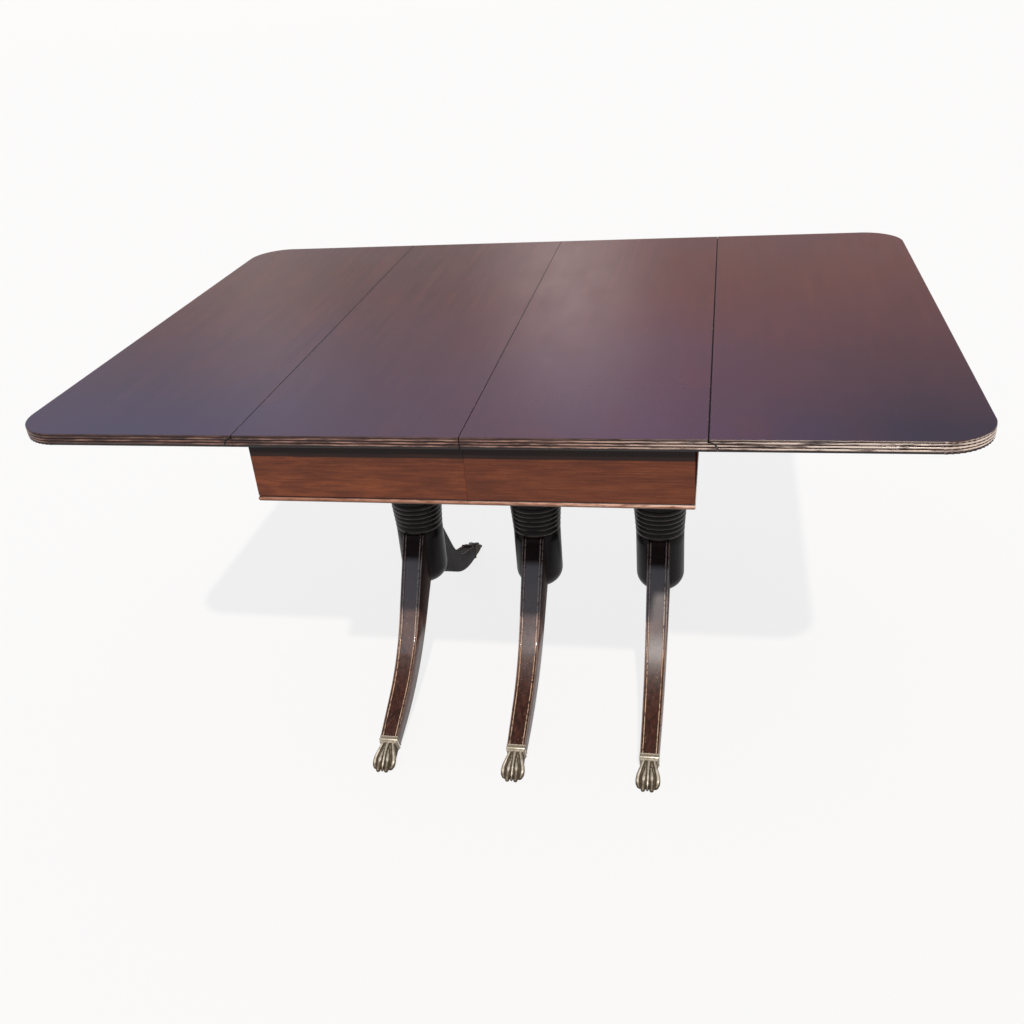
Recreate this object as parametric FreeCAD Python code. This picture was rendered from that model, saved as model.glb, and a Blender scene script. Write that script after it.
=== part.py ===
import FreeCAD, Part
import math
import os

# A drop-leaf extension dining table in mahogany, in millimetres.
# The floor is z = 0, +X runs along the length, -Y is the front and the centre seam lies on x = 0.
# The left half is the right half mirrored, apart from the slide rails, the lock and the seam pins.

# Table top
table_height = 750.0
top_thickness = 19.0
table_width = 1046.0
fixed_half_length = 346.0
leaf_length = 377.0
leaf_corner_radius = 78.0
half_seam_gap = 0.2

# Reeded edge round the top
reed_count = 3
reed_depth = 2.0

# Rule joint between each fixed half and its leaf
rule_lip = 4.5
rule_clearance = 0.6

# Drop-leaf hinges let into the underside
hinge_edge_distance = 123.0
hinge_width = 46.0
hinge_plate_thickness = 2.0
hinge_plate_on_top = 32.0
hinge_plate_on_leaf = 56.0
hinge_knuckle_radius = 3.4
hinge_middle_knuckle = 15.0
hinge_pin_radius = 1.5
hinge_pin_clearance = 0.06
hinge_side_clearance = 0.4
hinge_swing_clearance = 0.3

# Apron frame under each half
apron_front_setback = 14.0
apron_end_setback = 17.0
apron_thickness = 22.0
apron_depth = 88.0
bead_height = 10.0
bead_proud = 1.2
corner_block_leg = 20.0

# Extension slides under the top
slide_place = 150.0
slide_thickness = 24.0
slide_depth = 39.5
slide_clearance = 0.3
slide_top_gap = 0.5
slide_travel = 300.0
slide_centre_end_gap = 3.0
slide_outer_end_gap = 4.0
slide_inner_end_gap = 9.0
slide_tongue_height = 8.0
slide_tongue_depth = 7.0
slide_stop_inset = 6.0
slide_stop_radius = 2.0

# Lopers, the pull-out bearers that hold a leaf up
loper_edge_distance = 233.0
loper_seam_gap = 31.0
loper_width = 30.0
loper_depth = 26.0
loper_travel = 170.0
loper_clearance = 0.3
loper_end_setback = 0.5
loper_peg_radius = 6.0
loper_peg_length = 12.0
loper_peg_inset = 12.0
loper_stop_gap = 1.0
guide_end_gap = 7.0
guide_length = 18.0
guide_wall = 7.0

# Pins and locks that hold the halves together at the seam
seam_pin_edge_distance = 73.0
seam_pin_radius = 5.0
seam_pin_seat = 26.0
seam_pin_reach = 18.0
seam_pin_clearance = 0.3
seam_pin_end_gap = 2.0
lock_apron_distance = 87.0
lock_pivot_place = 25.0
lock_plate_length = 40.0
lock_plate_width = 34.0
lock_plate_thickness = 3.0
lock_pivot_radius = 4.0
lock_head_radius = 7.0
lock_head_thickness = 2.5
lock_lever_thickness = 4.0
lock_lever_width = 17.0
lock_lever_drop = 4.0
lock_lever_tail = 34.0
lock_stud_place = 20.0
lock_stud_radius = 3.0
lock_stud_gap = 0.6
lock_clearance = 0.1

# Bearers that carry the pedestals
bearer_width = 70.0
bearer_thickness = 29.5
bearer_clearance = 0.5
bearer_block_gap = 2.0
centre_bearer_reach = 13.0
cleat_depth = 32.0

# Turned columns
drum_radius = 48.0
drum_bottom = 175.0
drum_top = 307.0
drum_round = 36.0
collar_top_radius = 52.5
collar_ring_depth = 1.6
collar_first_ring = 13.0
collar_ring_pitch = 10.4
collar_ring_count = 5
urn_swell = 1.0
urn_swell_height = 22.0
urn_shoulder_drop = 5.0
urn_height = 50.0
waist_draw_in = 6.0
waist_lower = 8.0
neck_radius = 27.0
neck_length = 94.0
neck_taper = 3.0
cap_cove = 8.0
cap_radius = 34.0
cap_height = 20.0
tenon_radius = 18.0
tenon_end_gap = 3.5
fit_clearance = 0.05

# Sabre legs, keyed into the drums
dovetail_neck = 16.0
dovetail_flare = 3.0
dovetail_depth = 16.0
dovetail_top_gap = 16.0
leg_top_proud = 2.5
leg_top_gap = 1.0
leg_top_slope = 54.2
leg_foot_slope = 22.0
leg_end_distance = 357.0
leg_end_height = 36.0
leg_ankle_lean = 10.0
leg_ankle_rise = 28.0
leg_root_depth = 17.0
leg_root_height = 199.5
leg_under_top_slope = 43.7
leg_under_foot_slope = 14.5
leg_bend_radius = 290.0
leg_under_bend_radius = 480.0
leg_top_width = 45.0
leg_end_width = 34.5
leg_rail_width = 8.0
leg_rail_end_width = 6.0
leg_panel_depth = 2.5
leg_groove_width = 1.2
leg_groove_depth = 1.6

# Brass paw feet
paw_socket_length = 26.0
paw_socket_height = 16.0
paw_socket_width = 22.0
paw_cuff_length = 14.0
paw_cuff_proud = 0.8
paw_bead_proud = 1.0
paw_bead_length = 6.0
paw_length = 67.0
paw_heel_length = 12.0
paw_flare_length = 50.0
paw_flare_width = 45.0
paw_tip_width = 36.0
paw_toe_height = 13.0
paw_crown_share = 0.6
paw_crown_rise = 5.0
paw_toe_tuck = 4.0
paw_toe_count = 4
paw_toe_groove = 2.4
paw_toe_groove_depth = 3.2

# Overshoot of cutting shapes past the wood that they cut
overshoot = 1.0
wide_overshoot = 6.0

# Levels and places that follow from the sizes above
underside = table_height - top_thickness
half_width = table_width / 2
half_length = fixed_half_length + leaf_length
hinge_height = underside + hinge_plate_thickness
rule_radius = table_height - rule_lip - hinge_height
cove_radius = rule_radius + rule_clearance
hinge_places = (hinge_edge_distance - half_width, 0.0, half_width - hinge_edge_distance)
apron_front_face = half_width - apron_front_setback
apron_front_inner = apron_front_face - apron_thickness
apron_end_face = fixed_half_length - apron_end_setback
apron_end_inner = apron_end_face - apron_thickness
apron_bottom = underside - apron_depth
bead_bottom = apron_bottom - bead_height
slide_centre_half = apron_end_inner - slide_centre_end_gap
slide_outer_end = apron_end_inner - slide_outer_end_gap
slide_inner_end = apron_end_inner - slide_inner_end_gap
slide_stop_place = slide_centre_half - slide_stop_inset
slide_bottom = underside - slide_depth
slide_middle = underside - slide_depth / 2
loper_place = half_width - loper_edge_distance
loper_length = apron_end_face - loper_end_setback - loper_seam_gap
loper_inner_end = apron_end_face - loper_end_setback - loper_length
loper_stop_place = loper_inner_end + loper_peg_inset + loper_peg_radius + loper_travel + loper_stop_gap
guide_places = (loper_stop_place, apron_end_inner - guide_end_gap - guide_length)
guide_bottom = underside - loper_depth - 2 * loper_clearance - guide_wall
seam_pin_places = (seam_pin_edge_distance - half_width, 0.0, half_width - seam_pin_edge_distance)
lock_places = (lock_apron_distance - apron_front_inner, apron_front_inner - lock_apron_distance)
lock_lever_top = underside - lock_plate_thickness - lock_lever_drop
lock_lever_bottom = lock_lever_top - lock_lever_thickness
pedestal_place = apron_end_inner - corner_block_leg - bearer_block_gap - bearer_width / 2
centre_slide_bottom = slide_bottom - bearer_clearance
half_bearer_top = centre_slide_bottom - bearer_clearance
bearer_bottom = half_bearer_top - bearer_thickness
centre_bearer_half = slide_place + slide_thickness / 2 + centre_bearer_reach
tenon_length = bearer_thickness - tenon_end_gap
collar_top = drum_top + collar_first_ring + collar_ring_count * collar_ring_pitch
leg_top_out = drum_radius + leg_top_proud
leg_top_height = drum_top - leg_top_gap
leg_root_out = drum_radius - leg_root_depth
leg_under_out = leg_end_distance - leg_ankle_lean
leg_under_height = leg_end_height - leg_ankle_rise
dovetail_top = leg_top_height - dovetail_top_gap
paw_toe_reach = leg_end_distance + paw_length
paw_heel_reach = leg_end_distance + paw_heel_length
paw_flare_reach = leg_end_distance + paw_flare_length


def vec(x, y, z):
    return FreeCAD.Vector(x, y, z)


def box(x0, x1, y0, y1, z0, z1):
    return Part.makeBox(x1 - x0, y1 - y0, z1 - z0, vec(x0, y0, z0))


def line(start, end):
    return Part.LineSegment(start, end).toShape()


def arc(start, middle, end):
    return Part.Arc(start, middle, end).toShape()


def face_of(edges):
    return Part.Face(Part.Wire(edges))


def polygon(points):
    return Part.Face(Part.makePolygon(list(points) + [points[0]]))


def rod(start, direction, radius, length):
    return Part.makeCylinder(radius, length, start, direction)


def mirror_x(shape):
    return shape.mirror(vec(0, 0, 0), vec(1, 0, 0))


def mirror_y(shape):
    return shape.mirror(vec(0, 0, 0), vec(0, 1, 0))


def moved(shape, x, y=0.0, z=0.0):
    copy = shape.copy()
    copy.translate(vec(x, y, z))
    return copy


def cut_each(shape, tools):
    """Cut tools that meet edge to edge one after another."""
    for tool in tools:
        shape = shape.cut(tool)
    return shape


def save(name, *solids):
    shape = solids[0] if len(solids) == 1 else Part.makeCompound(list(solids))
    shape.exportStep(os.path.join("parts", name + ".step"))


# Table top

def reed_cutter(place, outer):
    """Face of what lies outside the reeded edge; place maps (outward, height) to a point."""
    pitch = top_thickness / reed_count
    low = place(-reed_depth, underside)
    high = place(-reed_depth, table_height)
    edges = []
    for reed in range(reed_count):
        z0 = underside + reed * pitch
        start = place(-reed_depth, z0)
        middle = place(0.0, z0 + pitch / 2)
        end = place(-reed_depth, z0 + pitch)
        edges.append(arc(start, middle, end))
    corners = [
        high,
        place(-reed_depth, table_height + overshoot),
        place(outer, table_height + overshoot),
        place(outer, underside - overshoot),
        place(-reed_depth, underside - overshoot),
        low,
    ]
    for start, end in zip(corners, corners[1:]):
        edges.append(line(start, end))
    return face_of(Part.__sortEdges__(edges))


def long_edge_cutter(x0, x1):
    """The reeded front edge between two places along the length."""
    face = reed_cutter(lambda out, z: vec(x0, -half_width - out, z), wide_overshoot)
    return face.extrude(vec(x1 - x0, 0, 0))


def hinge_recess_in_top(y):
    """Seat of the hinge plate, room for the leaf's plate, and the channel for the knuckle."""
    side = hinge_width / 2 + hinge_side_clearance
    seat = box(fixed_half_length - hinge_plate_on_top - hinge_side_clearance, fixed_half_length,
               y - side, y + side, underside - overshoot, hinge_height)
    swing = box(fixed_half_length, fixed_half_length + rule_radius + overshoot,
                y - side, y + side, underside - overshoot, hinge_height + hinge_swing_clearance)
    channel = rod(vec(fixed_half_length, y - side, hinge_height), vec(0, 1, 0),
                  hinge_knuckle_radius + hinge_side_clearance, 2 * side)
    return [seat, swing, channel]


def fixed_top(seam_hole_radius, seam_hole_depth):
    """Right fixed half: an ovolo along the rule joint, reeded front and back edges."""
    axis_x = fixed_half_length
    slope = rule_radius * math.sqrt(0.5)
    edges = [
        line(vec(half_seam_gap, -half_width, table_height), vec(axis_x, -half_width, table_height)),
        line(vec(axis_x, -half_width, table_height), vec(axis_x, -half_width, table_height - rule_lip)),
        arc(vec(axis_x, -half_width, table_height - rule_lip),
            vec(axis_x + slope, -half_width, hinge_height + slope),
            vec(axis_x + rule_radius, -half_width, hinge_height)),
        line(vec(axis_x + rule_radius, -half_width, hinge_height),
             vec(axis_x + rule_radius, -half_width, underside)),
        line(vec(axis_x + rule_radius, -half_width, underside), vec(half_seam_gap, -half_width, underside)),
        line(vec(half_seam_gap, -half_width, underside), vec(half_seam_gap, -half_width, table_height)),
    ]
    board = face_of(edges).extrude(vec(0, table_width, 0))
    front = long_edge_cutter(-overshoot, axis_x + rule_radius + overshoot)
    tools = [front, mirror_y(front)]
    for y in hinge_places:
        tools.extend(hinge_recess_in_top(y))
    for y in seam_pin_places:
        start = vec(half_seam_gap - overshoot, y, underside + top_thickness / 2)
        tools.append(rod(start, vec(1, 0, 0), seam_hole_radius, seam_hole_depth + overshoot))
    return cut_each(board, tools)


def leaf():
    """Right leaf: a cove along the rule joint, rounded outer corners, reeded on three sides."""
    axis_x = fixed_half_length
    lip_x = axis_x + rule_clearance
    cove_top = hinge_height + math.sqrt(cove_radius ** 2 - rule_clearance ** 2)
    slope = cove_radius * math.sqrt(0.5)
    edges = [
        line(vec(lip_x, -half_width, table_height), vec(half_length, -half_width, table_height)),
        line(vec(half_length, -half_width, table_height), vec(half_length, -half_width, underside)),
        line(vec(half_length, -half_width, underside), vec(axis_x + cove_radius, -half_width, underside)),
        line(vec(axis_x + cove_radius, -half_width, underside),
             vec(axis_x + cove_radius, -half_width, hinge_height)),
        arc(vec(axis_x + cove_radius, -half_width, hinge_height),
            vec(axis_x + slope, -half_width, hinge_height + slope),
            vec(lip_x, -half_width, cove_top)),
        line(vec(lip_x, -half_width, cove_top), vec(lip_x, -half_width, table_height)),
    ]
    board = face_of(edges).extrude(vec(0, table_width, 0))

    corner_x = half_length - leaf_corner_radius
    corner_y = half_width - leaf_corner_radius
    front = long_edge_cutter(axis_x - overshoot, corner_x)
    side_face = reed_cutter(lambda out, z: vec(half_length + out, -corner_y, z), wide_overshoot)
    side = side_face.extrude(vec(0, 2 * corner_y, 0))
    corner_outer = leaf_corner_radius * (math.sqrt(2) - 1) + wide_overshoot
    corner_face = reed_cutter(lambda out, z: vec(half_length + out, -corner_y, z), corner_outer)
    corner = corner_face.revolve(vec(corner_x, -corner_y, 0), vec(0, 0, 1), -90)
    tools = [front, mirror_y(front), side, corner, mirror_y(corner)]
    for y in hinge_places:
        reach = hinge_width / 2 + hinge_side_clearance
        tools.append(box(axis_x + cove_radius - overshoot, axis_x + hinge_plate_on_leaf + hinge_side_clearance,
                         y - reach, y + reach, underside - overshoot, hinge_height))
    return cut_each(board, tools)


def hinge_knuckle(y0, y1):
    return rod(vec(fixed_half_length, y0, hinge_height), vec(0, 1, 0), hinge_knuckle_radius, y1 - y0)


def hinge_bore(y, clearance):
    start = vec(fixed_half_length, y - hinge_width, hinge_height)
    return rod(start, vec(0, 1, 0), hinge_pin_radius + clearance, 2 * hinge_width)


def hinge_top_plate(y):
    """Short plate under the fixed half, with the two outer knuckles."""
    half = hinge_width / 2
    inner = hinge_middle_knuckle / 2
    notch = hinge_knuckle_radius + hinge_side_clearance
    plate = box(fixed_half_length - hinge_plate_on_top, fixed_half_length - notch,
                y - half, y + half, underside, hinge_height)
    for y0, y1 in ((y - half, y - inner), (y + inner, y + half)):
        plate = plate.fuse(box(fixed_half_length - notch, fixed_half_length, y0, y1, underside, hinge_height))
        plate = plate.fuse(hinge_knuckle(y0, y1))
    return plate.removeSplitter().cut(hinge_bore(y, fit_clearance / 2))


def hinge_leaf_plate(y):
    """Long plate under the leaf, with the middle knuckle."""
    half = hinge_width / 2
    inner = hinge_middle_knuckle / 2 - hinge_side_clearance
    notch = hinge_knuckle_radius + hinge_side_clearance
    plate = box(fixed_half_length + notch, fixed_half_length + hinge_plate_on_leaf,
                y - half, y + half, underside, hinge_height)
    tab = box(fixed_half_length, fixed_half_length + notch, y - inner, y + inner, underside, hinge_height)
    plate = plate.fuse([tab, hinge_knuckle(y - inner, y + inner)])
    return plate.removeSplitter().cut(hinge_bore(y, hinge_pin_clearance))


def hinge_pin(y):
    start = vec(fixed_half_length, y - hinge_width / 2, hinge_height)
    return rod(start, vec(0, 1, 0), hinge_pin_radius, hinge_width)


# Apron frame

def apron_front():
    """Front rail of the right half, mitred to the end rail."""
    plan = polygon([
        vec(half_seam_gap, -apron_front_face, apron_bottom),
        vec(apron_end_face, -apron_front_face, apron_bottom),
        vec(apron_end_inner, -apron_front_inner, apron_bottom),
        vec(half_seam_gap, -apron_front_inner, apron_bottom),
    ])
    return plan.extrude(vec(0, 0, apron_depth))


def apron_end():
    """End rail of the right half, notched at the top for its two lopers."""
    plan = polygon([
        vec(apron_end_face, -apron_front_face, apron_bottom),
        vec(apron_end_face, apron_front_face, apron_bottom),
        vec(apron_end_inner, apron_front_inner, apron_bottom),
        vec(apron_end_inner, -apron_front_inner, apron_bottom),
    ])
    rail = plan.extrude(vec(0, 0, apron_depth))
    reach = loper_width / 2 + loper_clearance
    low = underside - loper_depth - 2 * loper_clearance
    notches = []
    for y in (-loper_place, loper_place):
        notches.append(box(apron_end_inner - overshoot, apron_end_face + overshoot, y - reach, y + reach,
                           low, underside + overshoot))
    return rail.cut(notches)


def bead_face(place):
    """Section of the bead: flat back and a half-round nose that stands proud of the apron."""
    round_radius = bead_height / 2
    low = place(bead_proud - round_radius, bead_bottom)
    nose = place(bead_proud, bead_bottom + round_radius)
    high = place(bead_proud - round_radius, apron_bottom)
    back_high = place(-apron_thickness, apron_bottom)
    back_low = place(-apron_thickness, bead_bottom)
    return face_of([arc(low, nose, high), line(high, back_high), line(back_high, back_low), line(back_low, low)])


def beads():
    """Front, back and end strips of the right half, mitred at the corners."""
    out = bead_proud + wide_overshoot
    inward = apron_thickness + wide_overshoot
    front_plan = polygon([
        vec(half_seam_gap, -apron_front_face - out, bead_bottom - overshoot),
        vec(apron_end_face + out, -apron_front_face - out, bead_bottom - overshoot),
        vec(apron_end_face - inward, -apron_front_face + inward, bead_bottom - overshoot),
        vec(half_seam_gap, -apron_front_face + inward, bead_bottom - overshoot),
    ])
    end_plan = polygon([
        vec(apron_end_face + out, -apron_front_face - out, bead_bottom - overshoot),
        vec(apron_end_face + out, apron_front_face + out, bead_bottom - overshoot),
        vec(apron_end_face - inward, apron_front_face - inward, bead_bottom - overshoot),
        vec(apron_end_face - inward, -apron_front_face + inward, bead_bottom - overshoot),
    ])
    rise = vec(0, 0, bead_height + 2 * overshoot)
    front_strip = bead_face(lambda n, z: vec(0, -apron_front_face - n, z)).extrude(
        vec(apron_end_face + out, 0, 0))
    front = front_strip.common(front_plan.extrude(rise))
    end_strip = bead_face(lambda n, z: vec(apron_end_face + n, -half_width, z)).extrude(vec(0, table_width, 0))
    end = end_strip.common(end_plan.extrude(rise))
    return [front, mirror_y(front), end]


def corner_block():
    """Glue block in the front corner of the right half."""
    plan = polygon([
        vec(apron_end_inner, -apron_front_inner, apron_bottom),
        vec(apron_end_inner, -apron_front_inner + corner_block_leg, apron_bottom),
        vec(apron_end_inner - corner_block_leg, -apron_front_inner, apron_bottom),
    ])
    return plan.extrude(vec(0, 0, apron_depth))


# Extension slides: three rails side by side in each set, tongued into the middle one

def slide_half_rail(side):
    """Rear rail of one half; side is -1 for the left half, on the outside, +1 for the right, inside."""
    near = slide_place - side * (slide_thickness / 2 + slide_clearance)
    far = near - side * slide_thickness
    tip = near + side * slide_tongue_depth
    ends = sorted((side * slide_outer_end, -side * slide_inner_end))
    rail = box(ends[0], ends[1], min(near, far), max(near, far), slide_bottom, underside)
    stop_face = slide_stop_place - slide_stop_radius - slide_clearance
    tongue_ends = sorted((-side * stop_face, -side * (slide_travel - stop_face)))
    tongue = box(tongue_ends[0], tongue_ends[1], min(near, tip), max(near, tip),
                 slide_middle - slide_tongue_height / 2, slide_middle + slide_tongue_height / 2)
    relief_ends = sorted((0.0, -side * (slide_inner_end + overshoot)))
    relief = box(relief_ends[0], relief_ends[1], min(near, far) - overshoot, max(near, far) + overshoot,
                 underside - slide_top_gap, underside + overshoot)
    return rail.fuse(tongue).removeSplitter().cut(relief)


def slide_centre_rail():
    """Rear middle rail, grooved on both sides, with holes for its two stop pins."""
    half = slide_thickness / 2
    rail = box(-slide_centre_half, slide_centre_half, slide_place - half, slide_place + half,
               centre_slide_bottom, underside - slide_top_gap)
    groove_half = slide_tongue_height / 2 + slide_clearance
    tools = []
    for y0, y1 in ((slide_place + half - slide_tongue_depth, slide_place + half + overshoot),
                   (slide_place - half - overshoot, slide_place - half + slide_tongue_depth)):
        tools.append(box(-slide_centre_half - overshoot, slide_centre_half + overshoot, y0, y1,
                         slide_middle - groove_half, slide_middle + groove_half))
    tools.extend(slide_stop_pins(fit_clearance))
    return rail.cut(tools)


def slide_stop_pins(extra=0.0):
    """Pins across the grooves of the rear middle rail that stop each tongue at full travel."""
    pins = []
    for side in (-1, 1):
        y = slide_place - side * (slide_thickness / 2 - slide_tongue_depth / 2)
        start = vec(side * slide_stop_place, y, centre_slide_bottom)
        pins.append(rod(start, vec(0, 0, 1), slide_stop_radius + extra, slide_depth))
    return pins


# Lopers

def loper():
    """Right front bar, pushed in, its end just inside the apron's face."""
    return box(loper_inner_end, apron_end_face - loper_end_setback,
               -loper_place - loper_width / 2, -loper_place + loper_width / 2,
               underside - loper_clearance - loper_depth, underside - loper_clearance)


def loper_peg():
    """Turned finger peg under the inner end, which also stops the bar at its guide."""
    top = underside - loper_clearance - loper_depth
    return rod(vec(loper_inner_end + loper_peg_inset, -loper_place, top - loper_peg_length), vec(0, 0, 1),
               loper_peg_radius, loper_peg_length)


def loper_guides():
    """U-shaped guides under the right half, two for each loper."""
    inner = loper_width / 2 + loper_clearance
    outer = inner + guide_wall
    guides = []
    for y in (-loper_place, loper_place):
        for x in guide_places:
            block = box(x, x + guide_length, y - outer, y + outer, guide_bottom, underside)
            slot = box(x - overshoot, x + guide_length + overshoot, y - inner, y + inner,
                       guide_bottom + guide_wall, underside + overshoot)
            guides.append(block.cut(slot))
    return guides


# Seam pins and locks

def seam_pins():
    """Dowels let into the left half, which enter the right half."""
    pins = []
    for y in seam_pin_places:
        start = vec(-half_seam_gap - seam_pin_seat, y, underside + top_thickness / 2)
        pins.append(rod(start, vec(1, 0, 0), seam_pin_radius, seam_pin_seat + 2 * half_seam_gap + seam_pin_reach))
    return pins


def lock_base(y):
    """Plate under the left half, with the headed post that the lever turns on."""
    plate = box(-lock_pivot_place - lock_plate_length / 2, -lock_pivot_place + lock_plate_length / 2,
                y - lock_plate_width / 2, y + lock_plate_width / 2, underside - lock_plate_thickness, underside)
    head_top = lock_lever_bottom - lock_clearance
    head_middle = head_top - lock_head_thickness / 2
    post = rod(vec(-lock_pivot_place, y, head_middle), vec(0, 0, 1), lock_pivot_radius, underside - head_middle)
    head = rod(vec(-lock_pivot_place, y, head_top - lock_head_thickness), vec(0, 0, 1),
               lock_head_radius, lock_head_thickness)
    collar_bottom = lock_lever_top + lock_clearance
    collar = rod(vec(-lock_pivot_place, y, collar_bottom), vec(0, 0, 1), lock_head_radius, underside - collar_bottom)
    return plate.fuse([post, head, collar]).removeSplitter()


def lock_lever(y):
    """Lever at rest along the seam; a quarter turn hooks it round the stud on the right half."""
    reach = lock_pivot_place + lock_stud_place
    half = lock_lever_width / 2
    bar = box(-lock_lever_tail, reach + half, -half, half, 0, lock_lever_thickness)
    slot_half = lock_stud_radius + lock_stud_gap
    through = lock_lever_thickness + 2 * overshoot
    below = vec(0, 0, -overshoot)
    outer = rod(below, vec(0, 0, 1), reach + slot_half, through)
    inner = rod(below, vec(0, 0, 1), reach - slot_half, through)
    leading = box(0, reach + 2 * half, -slot_half, 2 * half, -overshoot, lock_lever_thickness + overshoot)
    slot = outer.cut(inner).common(leading)
    hole = rod(below, vec(0, 0, 1), lock_pivot_radius + lock_clearance, through)
    lever = bar.cut([slot, hole])
    lever.rotate(vec(0, 0, 0), vec(0, 0, 1), -90)
    lever.translate(vec(-lock_pivot_place, y, lock_lever_bottom))
    return lever


def lock_keeper(y):
    """Plate under the right half with the stud that the lever catches."""
    plate = box(lock_stud_place - lock_plate_width / 2, lock_stud_place + lock_plate_width / 2,
                y - lock_plate_width / 2, y + lock_plate_width / 2, underside - lock_plate_thickness, underside)
    stud = rod(vec(lock_stud_place, y, lock_lever_bottom), vec(0, 0, 1), lock_stud_radius,
               underside - lock_lever_bottom)
    return plate.fuse(stud).removeSplitter()


# Pedestals

def bearer(reach, top):
    """Cross rail on which a pedestal stands, with the hole for the column's tenon."""
    plank = box(-bearer_width / 2, bearer_width / 2, -reach, reach, bearer_bottom, top)
    hole = rod(vec(0, 0, bearer_bottom - overshoot), vec(0, 0, 1), tenon_radius + fit_clearance,
               tenon_length + overshoot)
    return plank.cut(hole)


def bearer_cleat():
    """Front block that ties a bearer to the apron and the underside of the top."""
    return box(-bearer_width / 2, bearer_width / 2, -apron_front_inner, -apron_front_inner + cleat_depth,
               half_bearer_top, underside)


def drum(extra):
    """The plain drum at the foot of a column, with its rounded lower edge."""
    radius = drum_radius + extra
    bottom = drum_bottom - extra
    round_off = drum_round + extra
    flat = radius - round_off
    slope = round_off * math.sqrt(0.5)
    edges = [
        line(vec(0, 0, bottom), vec(flat, 0, bottom)),
        arc(vec(flat, 0, bottom), vec(flat + slope, 0, bottom + round_off - slope),
            vec(radius, 0, bottom + round_off)),
        line(vec(radius, 0, bottom + round_off), vec(radius, 0, drum_top)),
        line(vec(radius, 0, drum_top), vec(0, 0, drum_top)),
        line(vec(0, 0, drum_top), vec(0, 0, bottom)),
    ]
    return face_of(edges).revolve(vec(0, 0, 0), vec(0, 0, 1), 360)


def dovetail(inset, low, high):
    """Dovetail key of the front leg; inset is its clearance in the drum."""
    neck = dovetail_neck / 2 - inset
    tail = neck + dovetail_flare
    front = -drum_radius - overshoot
    back = -drum_radius + dovetail_depth - inset
    plan = polygon([vec(-neck, front, low), vec(neck, front, low), vec(tail, back, low), vec(-tail, back, low)])
    return plan.extrude(vec(0, 0, high - low))


def column(has_rear_leg):
    """Turned column: drum, ring-turned collar, urn, neck, cap and tenon."""
    growth = (collar_top_radius - drum_radius) / (collar_ring_count + 1)
    ring_low = vec(drum_radius - collar_ring_depth, 0, drum_top)
    edges = [line(vec(0, 0, drum_top), ring_low)]
    for ring in range(collar_ring_count + 1):
        crest = drum_radius + growth * (ring + 1)
        height = collar_ring_pitch if ring else collar_first_ring
        ring_middle = vec(crest, 0, ring_low.z + height / 2)
        ring_high = vec(crest - collar_ring_depth, 0, ring_low.z + height)
        edges.append(arc(ring_low, ring_middle, ring_high))
        ring_low = ring_high

    urn_start = ring_low
    swell = vec(collar_top_radius + urn_swell, 0, collar_top + urn_swell_height)
    urn_end = vec(collar_top_radius - urn_shoulder_drop, 0, collar_top + urn_height)
    cap_bottom = bearer_bottom - cap_height
    cap_under = vec(neck_radius + neck_taper, 0, cap_bottom - cap_cove)
    neck_base = vec(neck_radius, 0, cap_under.z - neck_length)
    waist = vec((urn_end.x + neck_base.x) / 2 - waist_draw_in, 0, (urn_end.z + neck_base.z) / 2 - waist_lower)
    cap_low = vec(cap_radius, 0, cap_bottom)
    cap_high = vec(cap_radius, 0, bearer_bottom)
    tenon_low = vec(tenon_radius, 0, bearer_bottom)
    tenon_high = vec(tenon_radius, 0, bearer_bottom + tenon_length)
    edges.append(arc(urn_start, swell, urn_end))
    edges.append(arc(urn_end, waist, neck_base))
    outline = [neck_base, cap_under, cap_low, cap_high, tenon_low, tenon_high,
               vec(0, 0, tenon_high.z), vec(0, 0, drum_top)]
    for start, end in zip(outline, outline[1:]):
        edges.append(line(start, end))
    turned = face_of(edges).revolve(vec(0, 0, 0), vec(0, 0, 1), 360)
    post = turned.fuse(drum(0.0)).removeSplitter()
    slot = dovetail(0.0, drum_bottom - overshoot, dovetail_top + fit_clearance)
    slots = [slot, mirror_y(slot)] if has_rear_leg else [slot]
    return post.cut(slots)


def meeting(start, start_slope, end, end_slope):
    """Point where a line falling from start meets a line falling to end, as (out, height)."""
    m0 = math.tan(math.radians(start_slope))
    m1 = math.tan(math.radians(end_slope))
    out = (start[1] - end[1] + m0 * start[0] - m1 * end[0]) / (m0 - m1)
    return (out, start[1] - m0 * (out - start[0]))


def swept_line(start, start_slope, end, end_slope, bend_radius, depth=0.0):
    """Edges of a falling curve, straight then bent then straight, lowered square to itself by depth."""
    def lowered(point, slope, extra):
        angle = math.radians(slope)
        return (point[0] - depth * math.sin(angle) + extra * math.cos(angle),
                point[1] - depth * math.cos(angle) - extra * math.sin(angle))

    first = lowered(start, start_slope, 0.0)
    last = lowered(end, end_slope, 0.0)
    corner = meeting(first, start_slope, last, end_slope)
    turn = math.radians(start_slope - end_slope)
    radius = bend_radius + depth
    tangent = radius * math.tan(turn / 2)
    a0 = math.radians(start_slope)
    a1 = math.radians(end_slope)
    bend_start = (corner[0] - tangent * math.cos(a0), corner[1] + tangent * math.sin(a0))
    bend_end = (corner[0] + tangent * math.cos(a1), corner[1] - tangent * math.sin(a1))
    middle_slope = (a0 + a1) / 2
    centre = (bend_start[0] + radius * math.sin(a0), bend_start[1] + radius * math.cos(a0))
    bend_middle = (centre[0] - radius * math.sin(middle_slope), centre[1] - radius * math.cos(middle_slope))
    points = [vec(0, -p[0], p[1]) for p in (first, bend_start, bend_middle, bend_end, last)]
    return [line(points[0], points[1]), arc(points[1], points[2], points[3]), line(points[3], points[4])], \
        points[0], points[4]


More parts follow.
